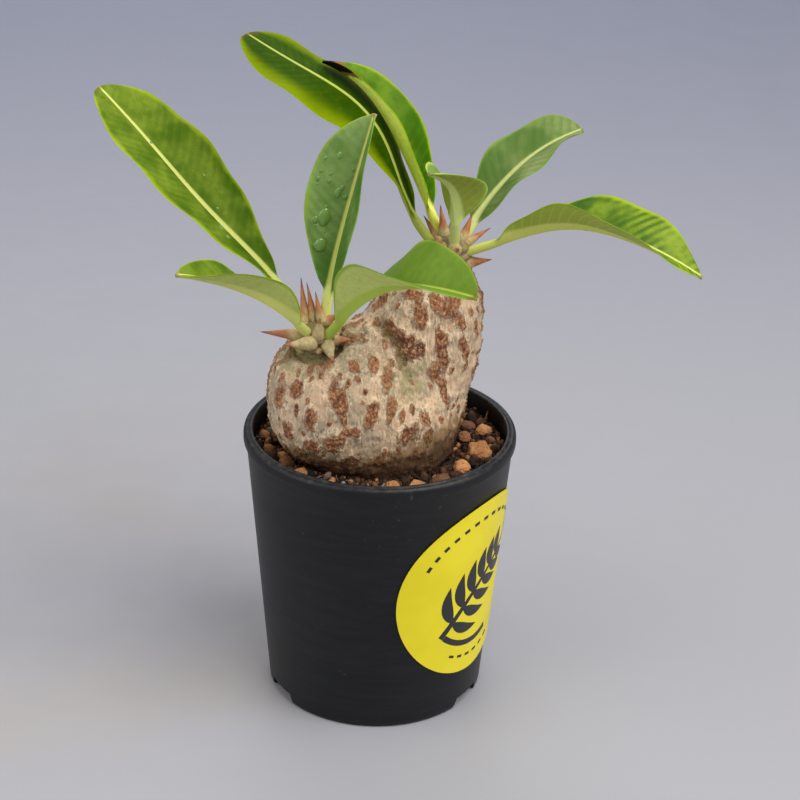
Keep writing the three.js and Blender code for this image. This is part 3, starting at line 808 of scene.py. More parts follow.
leafSizes = {
    "thickness": 0.55, "stalkRadius": 1.6, "root": 4, "veinSpacing": 2.7, "veinHeight": 0.035, "rib": 1.0,
}
leaves = [
    {
        "name": "leaf_front_tall_left", "crown": frontCrown, "base": (-3.2, 2, 1), "length": 88,
        "width": 28.5,
        "heading": (158, 156, 157), "pitch": (59, 38, 43, 40), "roll": (-5, -10, -3), "fold": (7, 20, 8),
        "stalk": 0.19, "widest": 0.65, "point": 0.51, "wave": 0.5, "finish": "lively", "drops": 5,
        "dropSide": (-0.6, 0.6),
    },
    {
        "name": "leaf_front_low_left", "crown": frontCrown, "base": (-3, -3, 2), "length": 50, "width": 17,
        "heading": (222, 218, 204), "pitch": (48, 34, 15), "roll": (0, 17, -10), "fold": (51, 34, 32),
        "stalk": 0.14, "widest": 0.55, "point": 0.66, "wave": 0.3, "finish": "lively",
    },
    {
        "name": "leaf_front_upright", "crown": frontCrown, "base": (1.5, 1, 3), "length": 62, "width": 24,
        "heading": (19, 17, 15), "pitch": (83, 76, 75), "roll": (44, 38, 29), "fold": (38, 42, 44),
        "stalk": 0.17, "widest": 0.59, "point": 0.73, "wave": 0.3, "finish": "deep", "drops": 20,
        "dropSide": (-0.8, -0.1), "largeDrops": [(0.4, -0.55, 1.6), (0.52, -0.5, 1.7), (0.5, -0.72, 0.9)],
    },
    {
        "name": "leaf_front_low_right", "crown": frontCrown, "base": (3, -3, 1), "length": 68, "width": 25.5,
        "heading": (308, 305, 336), "pitch": (49, 33, -5), "roll": (-14, -5, 25), "fold": (42, 42, 38),
        "stalk": 0.15, "widest": 0.6, "point": 0.58, "wave": 0.3, "finish": "bright",
    },
    {
        "name": "leaf_rear_tall_left", "crown": rearCrown, "base": (-4.5, 0, 0.5), "length": 83,
        "width": 28.5,
        "heading": (161, 163, 153), "pitch": (41, 70, 25, 22), "roll": (14, -1, 2), "fold": (31, -8, 0),
        "stalk": 0.14, "widest": 0.67, "point": 0.43, "wave": 0.5, "finish": "limeEdge",
    },
    {
        "name": "leaf_rear_tall_back", "crown": rearCrown, "base": (-2.5, 2.5, 2), "length": 62, "width": 16,
        "heading": (150, 154, 159), "pitch": (57, 61, 51, 14), "roll": (0, -2, 14), "fold": (50, 53, 20),
        "stalk": 0.17, "widest": 0.54, "point": 0.69, "wave": 0.3, "finish": "scorched",
    },
    {
        "name": "leaf_rear_young", "crown": rearCrown, "base": (0.5, -2.5, 3), "length": 34, "width": 19,
        "heading": (284, 252, 222), "pitch": (70, 64, 24), "roll": (-7, -10, 4), "fold": (21, 38, 15),
        "stalk": 0.3, "widest": 0.5, "point": 0.8, "wave": 0.2, "finish": "young",
    },
    {
        "name": "leaf_rear_short_right", "crown": rearCrown, "base": (3.2, 2.5, 2), "length": 50,
        "width": 20.5,
        "heading": (59, 35, 20), "pitch": (37, 36, 15), "roll": (5, 6, 8), "fold": (20, 22, 27),
        "stalk": 0.15, "widest": 0.61, "point": 0.67, "wave": 1.1, "finish": "dusky",
    },
    {
        "name": "leaf_rear_long_right", "crown": rearCrown, "base": (4, -1, -0.5), "length": 73, "width": 23,
        "heading": (346, 330, 351), "pitch": (24, 24, -8, -31), "roll": (-12, -10, 11), "fold": (51, 40, 19),
        "stalk": 0.14, "widest": 0.59, "point": 0.82, "wave": 0.5, "finish": "banded",
    },
]


def bladeShape(leaf, share):
    if share <= leaf["stalk"]:
        return 0
    s = (share - leaf["stalk"]) / (1 - leaf["stalk"])
    rise = leaf["widest"] * leaf["point"] / (1 - leaf["widest"])
    full = leaf["widest"] ** rise * (1 - leaf["widest"]) ** leaf["point"]
    return s ** rise * max(1 - s, 0) ** leaf["point"] / full


def leafSpine(leaf, steps):
    # points and directions along the midrib
    stations = []
    at = leaf["crown"] + Vector(leaf["base"])
    for i in range(steps + 1):
        share = i / steps
        heading, pitch = (math.radians(alongSpline(leaf[key], share)) for key in ("heading", "pitch"))
        ahead = Vector(
            (math.cos(pitch) * math.cos(heading), math.cos(pitch) * math.sin(heading), math.sin(pitch))
        )
        side = Vector((math.sin(heading), -math.cos(heading), 0))
        side.rotate(Quaternion(ahead, math.radians(alongSpline(leaf["roll"], share))))
        if i == 0:
            at = at - ahead * leafSizes["root"]
        stations.append((at.copy(), side, side.cross(ahead), ahead))
        at = at + ahead * leaf["length"] / steps
    return stations


def veinWave(distance, along):
    # side veins leave the midrib forwards and curve towards the tip
    return (along - 0.55 * distance - 0.012 * distance ** 2) / leafSizes["veinSpacing"]


def leafPoint(leaf, station, share, a, under, seed):
    # one point of the blade; a runs from -1 to 1 across it
    at, side, up, ahead = station
    blade = leaf["width"] / 2 * bladeShape(leaf, share)
    stalk = leafSizes["stalkRadius"] * (1 - 0.65 * share)
    wide = max(blade, stalk)
    opened = float(smoothStep(blade, 0, stalk * 3))
    flat = float(smoothStep(blade, 0, stalk * 2))
    fold = math.radians(alongSpline(leaf["fold"], share)) * opened
    across = a * wide
    distance = abs(across)
    rounded = math.sqrt(max(0, 1 - a * a)) * stalk
    thin = leafSizes["thickness"] / 2 * math.sqrt(max(0, 1 - a ** 8))
    half = rounded * (1 - flat) + thin * flat
    wave = leaf["wave"] * abs(a) ** 2.5 * opened * math.sin(
        share * leaf["length"] / 3.1 + seed + (1.3 if a > 0 else 0)
    )
    vein = veinWave(distance, share * leaf["length"])
    quilt = leafSizes["veinHeight"] * math.sin(
        2 * math.pi * vein
    ) * flat * min(1, distance / 2.5) * (1 - abs(a) ** 6)
    rib = leafSizes["rib"] * (1 - 0.75 * share) * math.exp(-(distance / (1.15 * stalk)) ** 2) * flat
    lift = distance * math.sin(fold) + wave + quilt
    lift += -half - rib if under else half * (1 - 0.35 * (1 - flat)) - 0.28 * rib
    return at + side * (across * math.cos(fold)) + up * lift, across, distance


def makeLeaf(leaf, seed):
    steps, columns = ((130, 26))
    spine = leafSpine(leaf, steps)
    lanes = [math.copysign(abs(t) ** 1.25, t) for t in [2 * c / columns - 1 for c in range(columns + 1)]]
    ring = [(a, False) for a in lanes] + [(a, True) for a in lanes[-2:0:-1]]
    points, place, shares = [], [], []
    for i, station in enumerate(spine):
        share = i / steps
        for a, under in ring:
            point, across, distance = leafPoint(leaf, station, share, a, under, seed)
            points.append(point)
            place.append((across, share * leaf["length"], 1 if under else 0))
            shares.append((a, share, min(1, leaf["width"] / 2 * bladeShape(leaf, share) / 3)))
    faces = ringFaces(steps + 1, len(ring))
    for first, station, flip in ((0, spine[0], True), (steps * len(ring), spine[-1], False)):
        centre = len(points)
        points.append(sum((Vector(points[first + i]) for i in range(len(ring))), Vector()) / len(ring))
        place.append(place[first])
        shares.append(shares[first])
        faces += fanFaces(first, len(ring), centre, flip)
    piece = meshPiece(
        leaf["name"] + "_blade", points, faces, {"leafPlace": place, "leafShare": shares}, sharp=75,
    )
    return facesOut(piece)


def makeLeafPattern():
    # a blade's colours from its own measures along and across: midrib, side veins, margin and underside, with
    # painted light and shade on the two halves
    group, given, out = newGroup(
        "leafPattern",
        [
            ("Upper", "Color", None), ("Light", "Color", None), ("Margin", "Color", None),
            ("Rib", "Color", None), ("Under", "Color", None),
            ("Vein Strength", "Float", 0.4), ("Margin Width", "Float", 0.1), ("Side Light", "Float", 0.0),
        ],
        [("Color", "Color"), ("Height", "Float"), ("Underside", "Float")],
    )
    place = split(group, carried(group, "leafPlace"))
    share = split(group, carried(group, "leafShare"))
    grain = useGroup(group, fineGrain, Scale=700.0, Seed=12.0)
    streaks = useGroup(group, fineGrain, Scale=420.0, Detail=5.0, Seed=16.0)
    distance = calc(group, "ABSOLUTE", place[0])
    reach = calc(group, "ABSOLUTE", share[0])
    bent = plus(group, times(group, distance, 0.55), times(group, times(group, distance, distance), 0.012))
    wave = calc(group, "DIVIDE", minus(group, place[1], bent), leafSizes["veinSpacing"])
    wave = plus(group, wave, times(group, grain["Blotch"], 0.35))
    stripe = calc(group, "SINE", times(group, wave, 2 * math.pi))
    vein = ease(group, stripe, -0.72, -1.0)
    fine = calc(group, "SINE", times(group, wave, 6 * math.pi))
    blade = share[2]
    # painted light and shade: Side Light lightens the blade on one side of the midrib and darkens it on the
    # other
    paintedHalfLight = times(group, ease(group, place[0], 2.0, -2.0, -0.5, 0.5), given["Side Light"])
    pale = plus(
        group, plus(group, grain["Blotch"], paintedHalfLight), times(group, minus(group, share[1], 0.55), 0.3),
    )
    colour = mixColour(group, ease(group, pale, 0.3, 0.75), given["Upper"], given["Light"])
    broken = times(group, ease(group, streaks["Blotch"], 0.36, 0.6), given["Vein Strength"])
    colour = mixColour(group, times(group, ease(group, stripe, -0.6, 0.9), broken), colour, given["Upper"])
    colour = mixColour(group, times(group, vein, times(group, broken, 0.35)), colour, given["Margin"])
    colour = mixColour(group, ease(group, streaks["Grain"], 0.48, 0.62, 0.0, 0.3), colour, given["Upper"])
    colour = mixColour(group, ease(group, streaks["Grain"], 0.42, 0.3, 0.0, 0.22), colour, given["Margin"])
    edgeLow = minus(group, 1.0, times(group, given["Margin Width"], 2.2))
    edge = ease(
        group, plus(group, reach, times(group, minus(group, grain["Blotch"], 0.5), 0.25)), edgeLow, 1.0,
    )
    colour = mixColour(group, edge, colour, given["Margin"])
    ribWidth = minus(group, 1.45, times(group, share[1], 0.95))
    onRib = ease(group, calc(group, "DIVIDE", distance, ribWidth), 1.1, 0.45)
    colour = mixColour(group, onRib, colour, given["Rib"])
    below = mixColour(
        group, times(group, vein, times(group, given["Vein Strength"], 0.4)), given["Under"], given["Rib"],
    )
    below = mixColour(group, ease(group, grain["Grain"], 0.4, 0.7, 0.0, 0.25), below, given["Margin"])
    below = mixColour(group, ease(group, reach, 0.86, 1.0, 0.0, 0.6), below, given["Margin"])
    below = mixColour(
        group, ease(group, calc(group, "DIVIDE", distance, ribWidth), 2.6, 1.6), below, given["Rib"],
    )
    colour = mixColour(group, place[2], colour, below)
    colour = mixColour(group, ease(group, blade, 0.75, 0.1), colour, given["Rib"])
    group.links.new(colour, out["Color"])
    height = plus(group, times(group, stripe, 0.4), times(group, fine, 0.08))
    height = plus(group, height, times(group, grain["Grain"], 0.6))
    group.links.new(times(group, height, blade), out["Height"])
    group.links.new(place[2], out["Underside"])
    return group


leafPattern = makeLeafPattern()
# each finish: the five paints in the order below, then the three numbers
leafPaints = ("Upper", "Light", "Margin", "Rib", "Under")
leafNumbers = ("Vein_Strength", "Margin_Width", "Side_Light")
leafColours = {
    "lively": (
        ((62, 92, 10), (116, 136, 40), (138, 158, 20), (202, 206, 116), (186, 194, 112)), 0.2, 0.07, 0.0,
    ),
    "banded": (
        ((44, 84, 6), (128, 148, 36), (140, 164, 18), (198, 202, 104), (156, 166, 72)), 0.7, 0.07, 0.0,
    ),
    "limeEdge": (((34, 60, 0), (48, 76, 0), (112, 130, 0), (168, 178, 80), (138, 154, 52)), 0.12, 0.24, 0.1),
    "deep": (
        ((78, 114, 44), (128, 152, 86), (128, 156, 60), (210, 212, 120), (136, 156, 80)), 0.3, 0.08, 0.2,
    ),
    "dusky": (
        ((78, 106, 42), (128, 142, 82), (110, 138, 48), (182, 188, 118), (128, 148, 76)), 0.35, 0.07, -0.2,
    ),
    "bright": (
        ((88, 118, 24), (108, 136, 40), (120, 148, 46), (168, 186, 76), (192, 200, 114)), 0.12, 0.05, 0.2,
    ),
    "young": (
        ((92, 124, 48), (112, 140, 58), (168, 190, 76), (186, 198, 118), (144, 154, 62)), 0.4, 0.1, 0.0,
    ),
    "scorched": (
        ((56, 94, 10), (104, 134, 34), (140, 160, 24), (224, 222, 110), (236, 234, 128)), 0.3, 0.08, -0.1,
    ),
}
leafGloss = {"limeEdge": 0.02, "lively": 0.03, "scorched": 0.03}
leafSoft = {"scorched": 0.8}


def makeLeafMaterial(name):
    material, tree, shader = newMaterial(
        name + "Leaf", Roughness=0.52, Specular_IOR_Level=leafGloss.get(name, 0.12),
        Subsurface_Weight=leafSoft.get(name, 0.25), Subsurface_Scale=0.0014,
    )
    shader.inputs["Subsurface Radius"].default_value = (0.6, 1.0, 0.2)
    paints, numbers = leafColours[name][0], leafColours[name][1:]
    values = {key: paint(*colour) for key, colour in zip(leafPaints, paints)}
    values.update(zip(leafNumbers, numbers))
    pattern = useGroup(tree, leafPattern, **values)
    grain = useGroup(tree, fineGrain, Scale=1500.0, Seed=14.0)
    colour = mixColour(
        tree, ease(tree, grain["Grain"], 0.68, 0.74, 0.0, 0.7), pattern["Color"], paint(70, 56, 24),
    )
    share = split(tree, carried(tree, "leafShare"))
    tip = plus(tree, share[1], times(tree, minus(tree, grain["Blotch"], 0.5), 0.05))
    if name == "scorched":
        tip = minus(tree, tip, times(tree, share[0], 0.07))
        colour = mixColour(tree, ease(tree, tip, 0.86, 0.89), colour, paint(132, 98, 40))
        colour = mixColour(tree, ease(tree, tip, 0.905, 0.92), colour, paint(28, 22, 18))
    else:
        colour = mixColour(tree, ease(tree, tip, 0.975, 0.995, 0.0, 0.7), colour, paint(96, 74, 34))
    dress(tree, shader, colour, ease(tree, pattern["Underside"], 0.0, 1.0, 0.48, 0.66))
    addBump(tree, shader, pattern["Height"], 0.25, 0.0002)
    return material


def makeDrops(leaf, seed):
    # water drops lying on the upper side
    dice, points, faces = random.Random(seed), [], []
    spine = leafSpine(leaf, 200)
    dome = [(math.cos(t), math.sin(t)) for t in [math.pi / 2 * i / 5 for i in range(5)]]
    places = [
        (
            dice.uniform(leaf["stalk"] + 0.18, 0.86), dice.uniform(*leaf["dropSide"]),
            dice.choice((0.3, 0.4, 0.5, 0.7, 0.9)),
        )
        for _ in range(leaf["drops"])
    ]
    for share, a, size in places + leaf.get("largeDrops", []):
        step = round(share * 200)
        middle, across, _ = leafPoint(leaf, spine[step], step / 200, a, False, 0)
        beside, _, _ = leafPoint(leaf, spine[step], step / 200, a + 0.03, False, 0)
        ahead = spine[step][3]
        side = (beside - middle).normalized()
        out = side.cross(ahead)
        long = dice.uniform(1, 1.6)
        start = len(points)
        for radius, rise in [(0.9, -0.35)] + dome:
            for s in range(12):
                turn = 2 * math.pi * s / 12
                points.append(
                    middle + side * (size * radius * math.cos(turn)) + ahead * (
                        size * long * radius * math.sin(turn)
                    ) + out * (size * 0.45 * rise)
                )
        top = len(points)
        points.append(middle + out * size * 0.45)
        bottom = len(points)
        points.append(middle - out * size * 0.25)
        faces += [tuple(start + i for i in face) for face in ringFaces(len(dome) + 1, 12)]
        for s in range(12):
            faces.append((start + len(dome) * 12 + s, start + len(dome) * 12 + (s + 1) % 12, top))
            faces.append((start + (s + 1) % 12, start + s, bottom))
    piece = meshPiece(leaf["name"] + "_drops", points, faces, sharp=80)
    return facesOut(piece)


def makeWater():
    material, tree, shader = newMaterial(
        "waterDrop", Roughness=0.04, IOR=1.45, Specular_IOR_Level=0.9, Transmission_Weight=0.2,
    )
    grain = useGroup(tree, fineGrain, Scale=300.0, Seed=21.0)
    # painted light: the clear drops get a light green base colour and little transmission, in place of the
    # lit leaf seen through them
    tree.links.new(
        mixColour(tree, grain["Blotch"], paint(104, 142, 58), paint(128, 164, 76)),
        shader.inputs["Base Color"],
    )
    addBump(tree, shader, grain["Grain"], 0.05, 0.0001)
    return material


leafMaterials = {name: makeLeafMaterial(name) for name in leafColours}
waterFinish = makeWater()
for index, leaf in enumerate(leaves):
    addPiece(makeLeaf(leaf, index * 1.7), "leaf", leafMaterials[leaf["finish"]], leaf["name"])
    if leaf.get("drops"):
        addPiece(makeDrops(leaf, 40 + index), "leaf", waterFinish)
print("leaves made")


# thorns

thornShape = {
    "root": paint(206, 186, 132), "middle": paint(184, 118, 70), "tip": paint(106, 60, 38),
    "pale": ("front_9", "front_10", "front_5", "rear_7"),
}


def makeThorn(thorn, seed):
    dice = random.Random(seed)
    length, girth = thorn["length"], thorn["girth"]
    heading, pitch = math.radians(thorn["heading"]), math.radians(thorn["pitch"])
    ahead = Vector(
        (math.cos(pitch) * math.cos(heading), math.cos(pitch) * math.sin(heading), math.sin(pitch))
    )
    turn = Vector((0, 0, 1)).rotation_difference(ahead)
    bendX, bendY = dice.uniform(-0.5, 0.5), dice.uniform(-0.5, 0.5)
    profile = [
        (0, -1), (0.55, -0.95), (0.85, -0.6), (0.98, 0), (1, 0.12 * length), (0.95, 0.22 * length),
        (0.8, 0.34 * length), (0.62, 0.47 * length), (0.47, 0.6 * length), (0.31, 0.74 * length),
        (0.16, 0.88 * length), (0.06, 0.97 * length), (0, length),
    ]
    points, faces = latheMesh([(radius * girth, height) for radius, height in profile], 16)
    share = np.clip(points[:, 2] / length, 0, 1)
    points[:, 0] += bendX * share ** 2
    points[:, 1] += bendY * share ** 2
    for i, point in enumerate(points):
        lump = 1 + 0.1 * noise.noise(Vector(point) * 0.9 + Vector((seed, 0, 0)))
        points[i][:2] = point[:2] * lump
    at = thorn["crown"] + Vector(thorn["base"])
    placed = [turn @ Vector(p) + at for p in points]
    return placed, faces, share


def makeThornFinish():
    material, tree, shader = newMaterial("thornHorn", Roughness=0.5, Specular_IOR_Level=0.4)
    share = carried(tree, "thornShare", "Fac")
    grain = useGroup(tree, fineGrain, Scale=1400.0, Stretch=0.5, Seed=31.0)
    place = plus(tree, share, times(tree, minus(tree, grain["Blotch"], 0.5), 0.3))
    colour = mixColour(tree, ease(tree, place, 0.16, 0.5), thornShape["root"], thornShape["middle"])
    colour = mixColour(tree, ease(tree, place, 0.72, 1.0), colour, thornShape["tip"])
    colour = mixColour(tree, ease(tree, grain["Grain"], 0.35, 0.7, 0.4, 0.0), colour, paint(96, 60, 40))
    dress(tree, shader, colour, ease(tree, grain["Grain"], 0.3, 0.7, 0.4, 0.62))
    addBump(tree, shader, grain["Grain"], 0.4, 0.0003)
    return material


thornRows = [
    ("front_1", (-3.2, 2.5, 2), 120, 70, 12, 1.3), ("front_2", (-1.1, 2, 2), 130, 75, 11, 1.3),
    ("front_3", (1, 0, 3), 150, 72, 8.5, 1.2),
    ("front_4", (-3.5, 0.5, 2), 170, 68, 9, 1.2), ("front_5", (0.3, -3.6, 0.6), 300, 78, 6, 1.8),
    ("front_6", (2, -1, 3.5), 340, 40, 5, 1.4),
    ("front_7", (-3.8, -1, -0.4), 180, 1, 11.5, 1.8), ("front_8", (-3.5, 1.5, 0), 165, 30, 6.5, 1),
    ("front_9", (-1, -4, -1.2), 195, 0, 8, 2.1),
    ("front_10", (2.6, -3.6, -1.6), 290, -25, 6.5, 1.9), ("front_11", (3.8, -1.5, -1.5), 350, 8, 6, 1.6),
    ("rear_1", (-3.6, 2, 1.5), 150, 50, 7.5, 1.3), ("rear_2", (-2, 0.8, 2.5), 140, 78, 9, 1.5),
    ("rear_3", (-0.4, 2, 2.5), 45, 75, 8, 1.3),
    ("rear_4", (2.4, 0.2, 2), 30, 62, 8, 1.4), ("rear_5", (3.6, 0.8, 0.8), 15, 35, 8, 1.3),
    ("rear_6", (3.4, -0.8, -4), 355, 10, 7.5, 1.8),
    ("rear_7", (0.6, -3.2, 0.6), 280, 20, 5.5, 1.9), ("rear_8", (-2.4, -2.6, 0.8), 235, 35, 6, 1.5),
]
thornFinish = makeThornFinish()
for index, (thornName, base, heading, pitch, length, girth) in enumerate(thornRows):
    crown = frontCrown if thornName.startswith("front") else rearCrown
    thorn = {
        "crown": crown, "base": base, "heading": heading, "pitch": pitch, "length": length, "girth": girth,
    }
    points, faces, share = makeThorn(thorn, index)
    if thornName in thornShape["pale"]:
        share = np.clip(share * 2.4 - 1.4, 0, 1)
    addPiece(
        meshPiece("thorn_" + thornName + "_horn", points, faces, {"thornShare": share}, sharp=60), "thorn",
        thornFinish, "thorn_" + thornName,
    )


def makeScales():
    # short dry scales crowded between the thorns of each crown
    dice, points, faces, shares = random.Random(5), [], [], []
    for crown in (frontCrown, rearCrown):
        taken = [Vector(row[1]) for row in thornRows if (row[0][0] == "f") == (crown is frontCrown)]
        taken += [Vector(leaf["base"]) for leaf in leaves if leaf["crown"] is crown]
        for i in range(40):
            heading, rise = dice.uniform(0, 360), dice.uniform(-4.5, 2.8)
            out = 4.8 * math.sqrt(max(0.05, 1 - (max(rise, 0) / 4.4) ** 2))
            base = Vector(
                (out * math.cos(math.radians(heading)), out * math.sin(math.radians(heading)), rise)
            )
            if any((base - other).length < 2.3 for other in taken):
                continue
            taken.append(base)
            scale = {
                "crown": crown, "base": base, "heading": heading + dice.uniform(-25, 25),
                "pitch": dice.uniform(30, 65), "length": dice.uniform(2.4, 4),
                "girth": dice.uniform(0.8, 1.2),
            }
            placed, shapeFaces, share = makeThorn(scale, 60 + i)
            start = len(points)
            points += placed
            faces += [tuple(start + i for i in face) for face in shapeFaces]
            shares += list(share * dice.uniform(0.5, 1))
    return meshPiece("crown_scales", points, faces, {"thornShare": shares}, sharp=60)


addPiece(makeScales(), "thorn", thornFinish)
print("thorns made")


# soil, loose stones and grit

soil = {
    "lump": 1.5, "rings": 64, "sides": 220, "floor": 5.8,
    "grains": 2600, "grainSizes": (0.7, 0.9, 1, 1.3, 1.7, 2.1, 2.6, 3, 3.6, 4.2),
    "splinter": (2.6, 0.35, 0.35), "splinters": 0.07,
    "paintedLightLeft": 0.14, "paintedShadeRight": 0.12,
    "black": paint(34, 26, 22), "brown": paint(74, 50, 36), "tan": paint(176, 122, 76),
    "orange": paint(204, 144, 90), "grey": paint(136, 128, 118),
}


def soilHeight(x, y):
    even = soilTop + 0.6 * (
        math.sin(x * 0.37 + 1.3) * math.cos(y * 0.41) + 0.6 * math.sin(x * 0.83 - y * 0.67)
    )
    return even + soil["lump"] * 0.5 * noise.fractal(Vector((x * 0.7, y * 0.7, 3)), 0.7, 2.2, 4)


def makeSoil():
    inner = lambda z: wallRadius(z) - pot["wall"] - 0.3
    profile = [
        (0, soil["floor"]), (inner(soil["floor"]) - 0.4, soil["floor"]), (inner(30), 30),
        (inner(soilTop - 2), soilTop - 2),
    ]
    reach = inner(soilTop)
    profile += [(reach * (1 - (i / soil["rings"])), soilTop) for i in range(soil["rings"] + 1)]
    points, faces = latheMesh(profile, soil["sides"])
    for point in points:
        if point[2] > soilTop - 1:
            point[2] = soilHeight(point[0], point[1])
    return meshPiece("soil_bed", points, faces, sharp=80)


def rockShape(size, seed, detail, squash=0.8):
    rock = bmesh.new()
    bmesh.ops.create_icosphere(rock, subdivisions=detail, radius=1)
    points = []
    for vertex in rock.verts:
        at = vertex.co
        lump = 1 + 0.28 * noise.noise(
            at * 0.9 + Vector((seed * 3.1, 0, 0))
        ) + 0.14 * noise.noise(at * 2.3 + Vector((0, seed * 1.7, 0)))
        lump += 0.05 * noise.noise(at * 5.5 + Vector((0, 0, seed)))
        points.append(Vector((at.x, at.y, at.z * squash)) * lump * size / 2)
    faces = [tuple(v.index for v in f.verts) for f in rock.faces]
    rock.free()
    return points, faces


def makeStone(node, seed):
    low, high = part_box(node)
    middle = (low + high) / 2 - potAxis
    points, faces = rockShape(2, seed, 4, 1)
    span = [max(p[i] for p in points) - min(p[i] for p in points) for i in range(3)]
    shift = [(max(p[i] for p in points) + min(p[i] for p in points)) / 2 for i in range(3)]
    size = [(high[i] - low[i]) / mm for i in range(3)]
    placed = [[middle[i] / mm + (p[i] - shift[i]) / span[i] * size[i] for i in range(3)] for p in points]
    return meshPiece(
        node + "_rock", placed, faces, {"grainTone": [0.72 + 0.16 * math.sin(seed * 2.4)] * len(placed)},
        sharp=80,
    )


def makeGrit():
    # seeded grains from dust to small stones, clear of the stem and the pot's wall
    dice, points, faces, tones = random.Random(7), [], [], []
    stones = [
        ((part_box(n)[0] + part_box(n)[1]) / 2 - potAxis) / mm
        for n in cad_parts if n.startswith("stone_")
    ]
    reach = wallRadius(soilTop) - pot["wall"]
    shapes = [rockShape(1, 50 + i, 2, 0.8) for i in range(9)] + [
        rockShape(1, 80 + i, 1, 0.75)
        for i in range(6)
    ]
    placed = []
    for attempt in range(soil["grains"] * 6):
        if len(placed) >= soil["grains"]:
            break
        size = dice.choice(soil["grainSizes"]) * dice.uniform(0.85, 1.15)
        turn, far = dice.uniform(0, 2 * math.pi), math.sqrt(dice.uniform(0.1, 1)) * (reach - size * 0.6)
        x, y = far * math.cos(turn), far * math.sin(turn)
        pile = 2.2 * dice.random() ** 2 * float(smoothStep(far, reach - 9, reach - 2)) * (0.4 + 0.6 * (y < 0))
        at = Vector((x, y, soilHeight(x, y) + size * 0.16 + pile))
        nearest, outward, _, gap = stemTree.find_nearest(at)
        if (at - nearest).dot(outward) < 0 or gap < size * 0.5 + 0.3:
            continue
        if any((at - s).length < size * 0.4 + 2 for s in stones):
            continue
        if size > 1 and any((at - p).length < 0.36 * (size + s) for p, s in placed if s > 1):
            continue
        placed.append((at, size))
        shape, shapeFaces = shapes[dice.randrange(9)] if size > 1.2 else shapes[9 + dice.randrange(6)]
        spin = Quaternion([dice.uniform(-1, 1) for _ in range(4)]).normalized()
        stretch = Vector((dice.uniform(0.8, 1.3), dice.uniform(0.7, 1), dice.uniform(0.6, 1)))
        if dice.random() < soil["splinters"]:
            stretch = Vector(soil["splinter"])
        start = len(points)
        points += [
            at + spin @ Vector((p.x * stretch.x, p.y * stretch.y, p.z * stretch.z)) * size
            for p in shape
        ]
        faces += [tuple(start + i for i in face) for face in shapeFaces]
        # painted light and shade: grains left of the axis are drawn in paler tones and grains on the right in
        # darker ones
        pick = dice.random() + (soil["paintedLightLeft"] if x < 0 else -soil["paintedShadeRight"])
        if pick < 0.93:
            tone = dice.uniform(*((0, 0.4) if pick < 0.58 else (0.4, 0.62) if pick < 0.78 else (0.62, 0.9)))
        else:
            tone = 1  # a grey stone
        tones += [tone] * len(shape)
    print("grains", len(placed))
    return meshPiece("soil_grit", points, faces, {"grainTone": tones}, sharp=50)


def makeEarth():
    material, tree, shader = newMaterial("darkEarth", Roughness=0.95, Specular_IOR_Level=0.2)
    grain = useGroup(tree, fineGrain, Scale=1100.0, Detail=6.0, Seed=41.0)
    colour = mixColour(tree, ease(tree, grain["Grain"], 0.4, 0.7), soil["black"], soil["brown"])
    colour = mixColour(tree, ease(tree, grain["Grain"], 0.68, 0.76, 0.0, 0.8), colour, soil["tan"])
    dress(tree, shader, colour, ease(tree, grain["Grain"], 0.3, 0.7, 0.85, 1.0))
    addBump(tree, shader, grain["Grain"], 1.0, 0.0009)
    return material


def makeStoneFinish():
    material, tree, shader = newMaterial("gritStone", Roughness=0.88, Specular_IOR_Level=0.3)
    tone = carried(tree, "grainTone", "Fac")
    grain = useGroup(tree, fineGrain, Scale=1200.0, Detail=5.0, Seed=44.0)
    pits = newNode(
        tree, "ShaderNodeTexVoronoi", {"feature": "F1"}, Vector=objectPlace(tree), Scale=1900.0,
    ).outputs[0]
    colour = mixColour(tree, ease(tree, tone, 0.3, 0.5), soil["black"], soil["brown"])
    colour = mixColour(tree, ease(tree, tone, 0.5, 0.7), colour, soil["tan"])
    colour = mixColour(tree, ease(tree, tone, 0.74, 0.86), colour, soil["orange"])
    colour = mixColour(tree, ease(tree, tone, 0.92, 0.98), colour, soil["grey"])
    colour = mixColour(tree, ease(tree, grain["Blotch"], 0.42, 0.66, 0.0, 0.55), colour, paint(128, 80, 50))
    colour = mixColour(tree, ease(tree, grain["Grain"], 0.44, 0.3, 0.0, 0.7), colour, soil["black"])
    dress(tree, shader, colour, ease(tree, grain["Grain"], 0.3, 0.7, 0.78, 0.98))
    addBump(tree, shader, plus(tree, grain["Grain"], times(tree, pits, 0.5)), 0.8, 0.0005)
    return material


addPiece(makeSoil(), "soil", makeEarth(), "soil")
stoneFinish = makeStoneFinish()
for index, node in enumerate(sorted(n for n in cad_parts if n.startswith("stone_"))):
    addPiece(makeStone(node, index + 1), "stone", stoneFinish, node)
addPiece(makeGrit(), "stone", stoneFinish)
print("soil and stones made")


# floor, lights and camera

studio = {
    "floor": paint(157, 156, 160), "far": paint(140, 142, 156), "warm": paint(162, 153, 143),
    "distance": 600, "elevation": 25.99, "target": (5.28, 0, 86.84), "turn": 1.56, "lens": 98.8,
    "lights": [
        ("key", (400, -330, 880), 0.9, 10, (1, 0.985, 0.96)),
        ("fill", (-750, -300, 520), 1, 3.9, (0.95, 0.97, 1)),
        ("back", (-150, 900, 800), 1, 4, (0.97, 0.98, 1)),
        ("side", (1250, -420, 560), 0.7, 3.4, (1, 0.98, 0.96)),
    ],
    "sky": (0.86, 0.88, 0.95, 1), "skyStrength": 0.5,
}


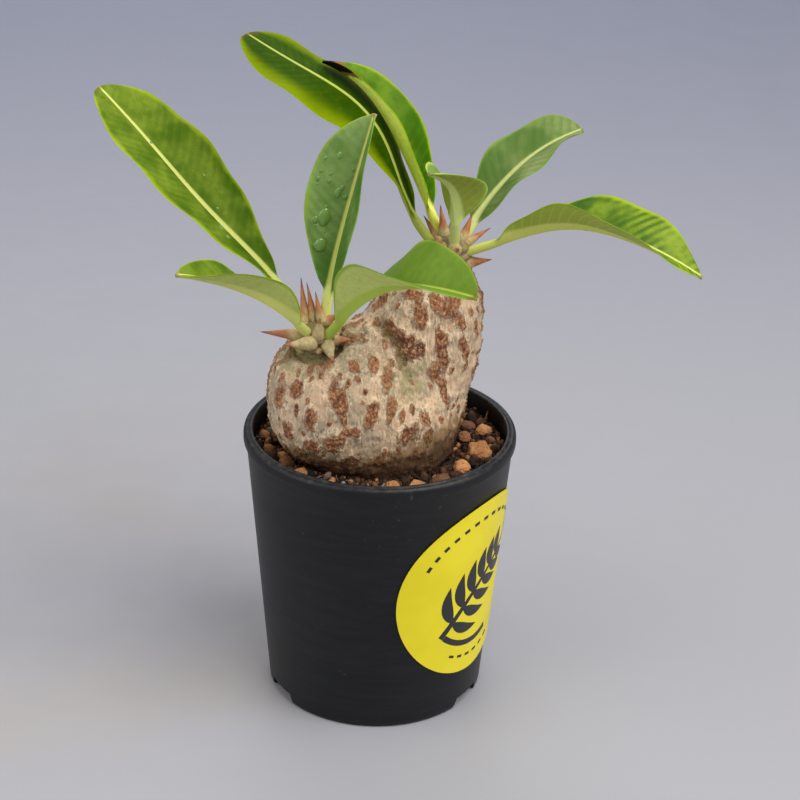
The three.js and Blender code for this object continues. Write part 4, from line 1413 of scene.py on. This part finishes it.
def makeFloor():
    rows = [
        (-3000, 0), (-900, 0), (-300, 0), (300, 0), (900, 0), (1500, 0), (1900, 30), (2150, 180), (2250, 500),
        (2260, 1200),
    ]
    points = [(x, y, z) for y, z in rows for x in (-3000, -700, 700, 3000)]
    floor = meshPiece("floor", points, ringFaces(len(rows), 4, closed=False), sharp=80)
    material, tree, shader = newMaterial("paleFloor", Roughness=0.6, Specular_IOR_Level=0.25)
    place = split(tree, objectPlace(tree))
    grain = useGroup(tree, fineGrain, Scale=40.0, Seed=61.0)
    # painted shade: the floor grades from its near colour to a darker, bluer grey further back
    colour = mixColour(tree, ease(tree, place[1], 0.05, 0.7), studio["floor"], studio["far"])
    warm = times(tree, ease(tree, grain["Blotch"], 0.48, 0.66, 0.0, 0.5), ease(tree, place[1], 0.3, 0.0))
    dress(
        tree, shader, mixColour(tree, warm, colour, studio["warm"]),
        ease(tree, grain["Grain"], 0.3, 0.7, 0.5, 0.66),
    )
    floor.data.materials.append(material)


def addLight(name, at, size, power, colour):
    lamp = bpy.data.lights.new(name, "AREA")
    lamp.shape, lamp.size, lamp.energy, lamp.color = "DISK", size, power, colour
    holder = bpy.data.objects.new(name, lamp)
    holder.location = Vector(at) * mm + potAxis
    holder.rotation_euler = (Vector((0, 0, 90)) - Vector(at)).to_track_quat("-Z", "Y").to_euler()
    bpy.context.scene.collection.objects.link(holder)


def makeCamera():
    lens = bpy.data.cameras.new("camera")
    lens.lens, lens.sensor_width, lens.clip_start = studio["lens"], 36, 0.01
    camera = bpy.data.objects.new("camera", lens)
    target = Vector(studio["target"]) * mm + potAxis
    tilt = math.radians(studio["elevation"])
    ahead = Vector((0, math.cos(tilt), -math.sin(tilt)))
    camera.location = target - ahead * studio["distance"] * mm
    camera.rotation_euler = (
        ahead.to_track_quat("-Z", "Y").to_matrix() @ Matrix.Rotation(math.radians(studio["turn"]), 3, "Z")
    ).to_euler()
    bpy.context.scene.collection.objects.link(camera)
    bpy.context.scene.camera = camera


makeFloor()
for name, at, size, power, colour in studio["lights"]:
    addLight(name, at, size, power, colour)
world = bpy.data.worlds.new("studio")
world.use_nodes = True
sky = world.node_tree.nodes["Background"].inputs
sky[0].default_value, sky[1].default_value = studio["sky"], studio["skyStrength"]
bpy.context.scene.world = world
bpy.context.scene.view_settings.view_transform = "Standard"
makeCamera()
print("studio made")
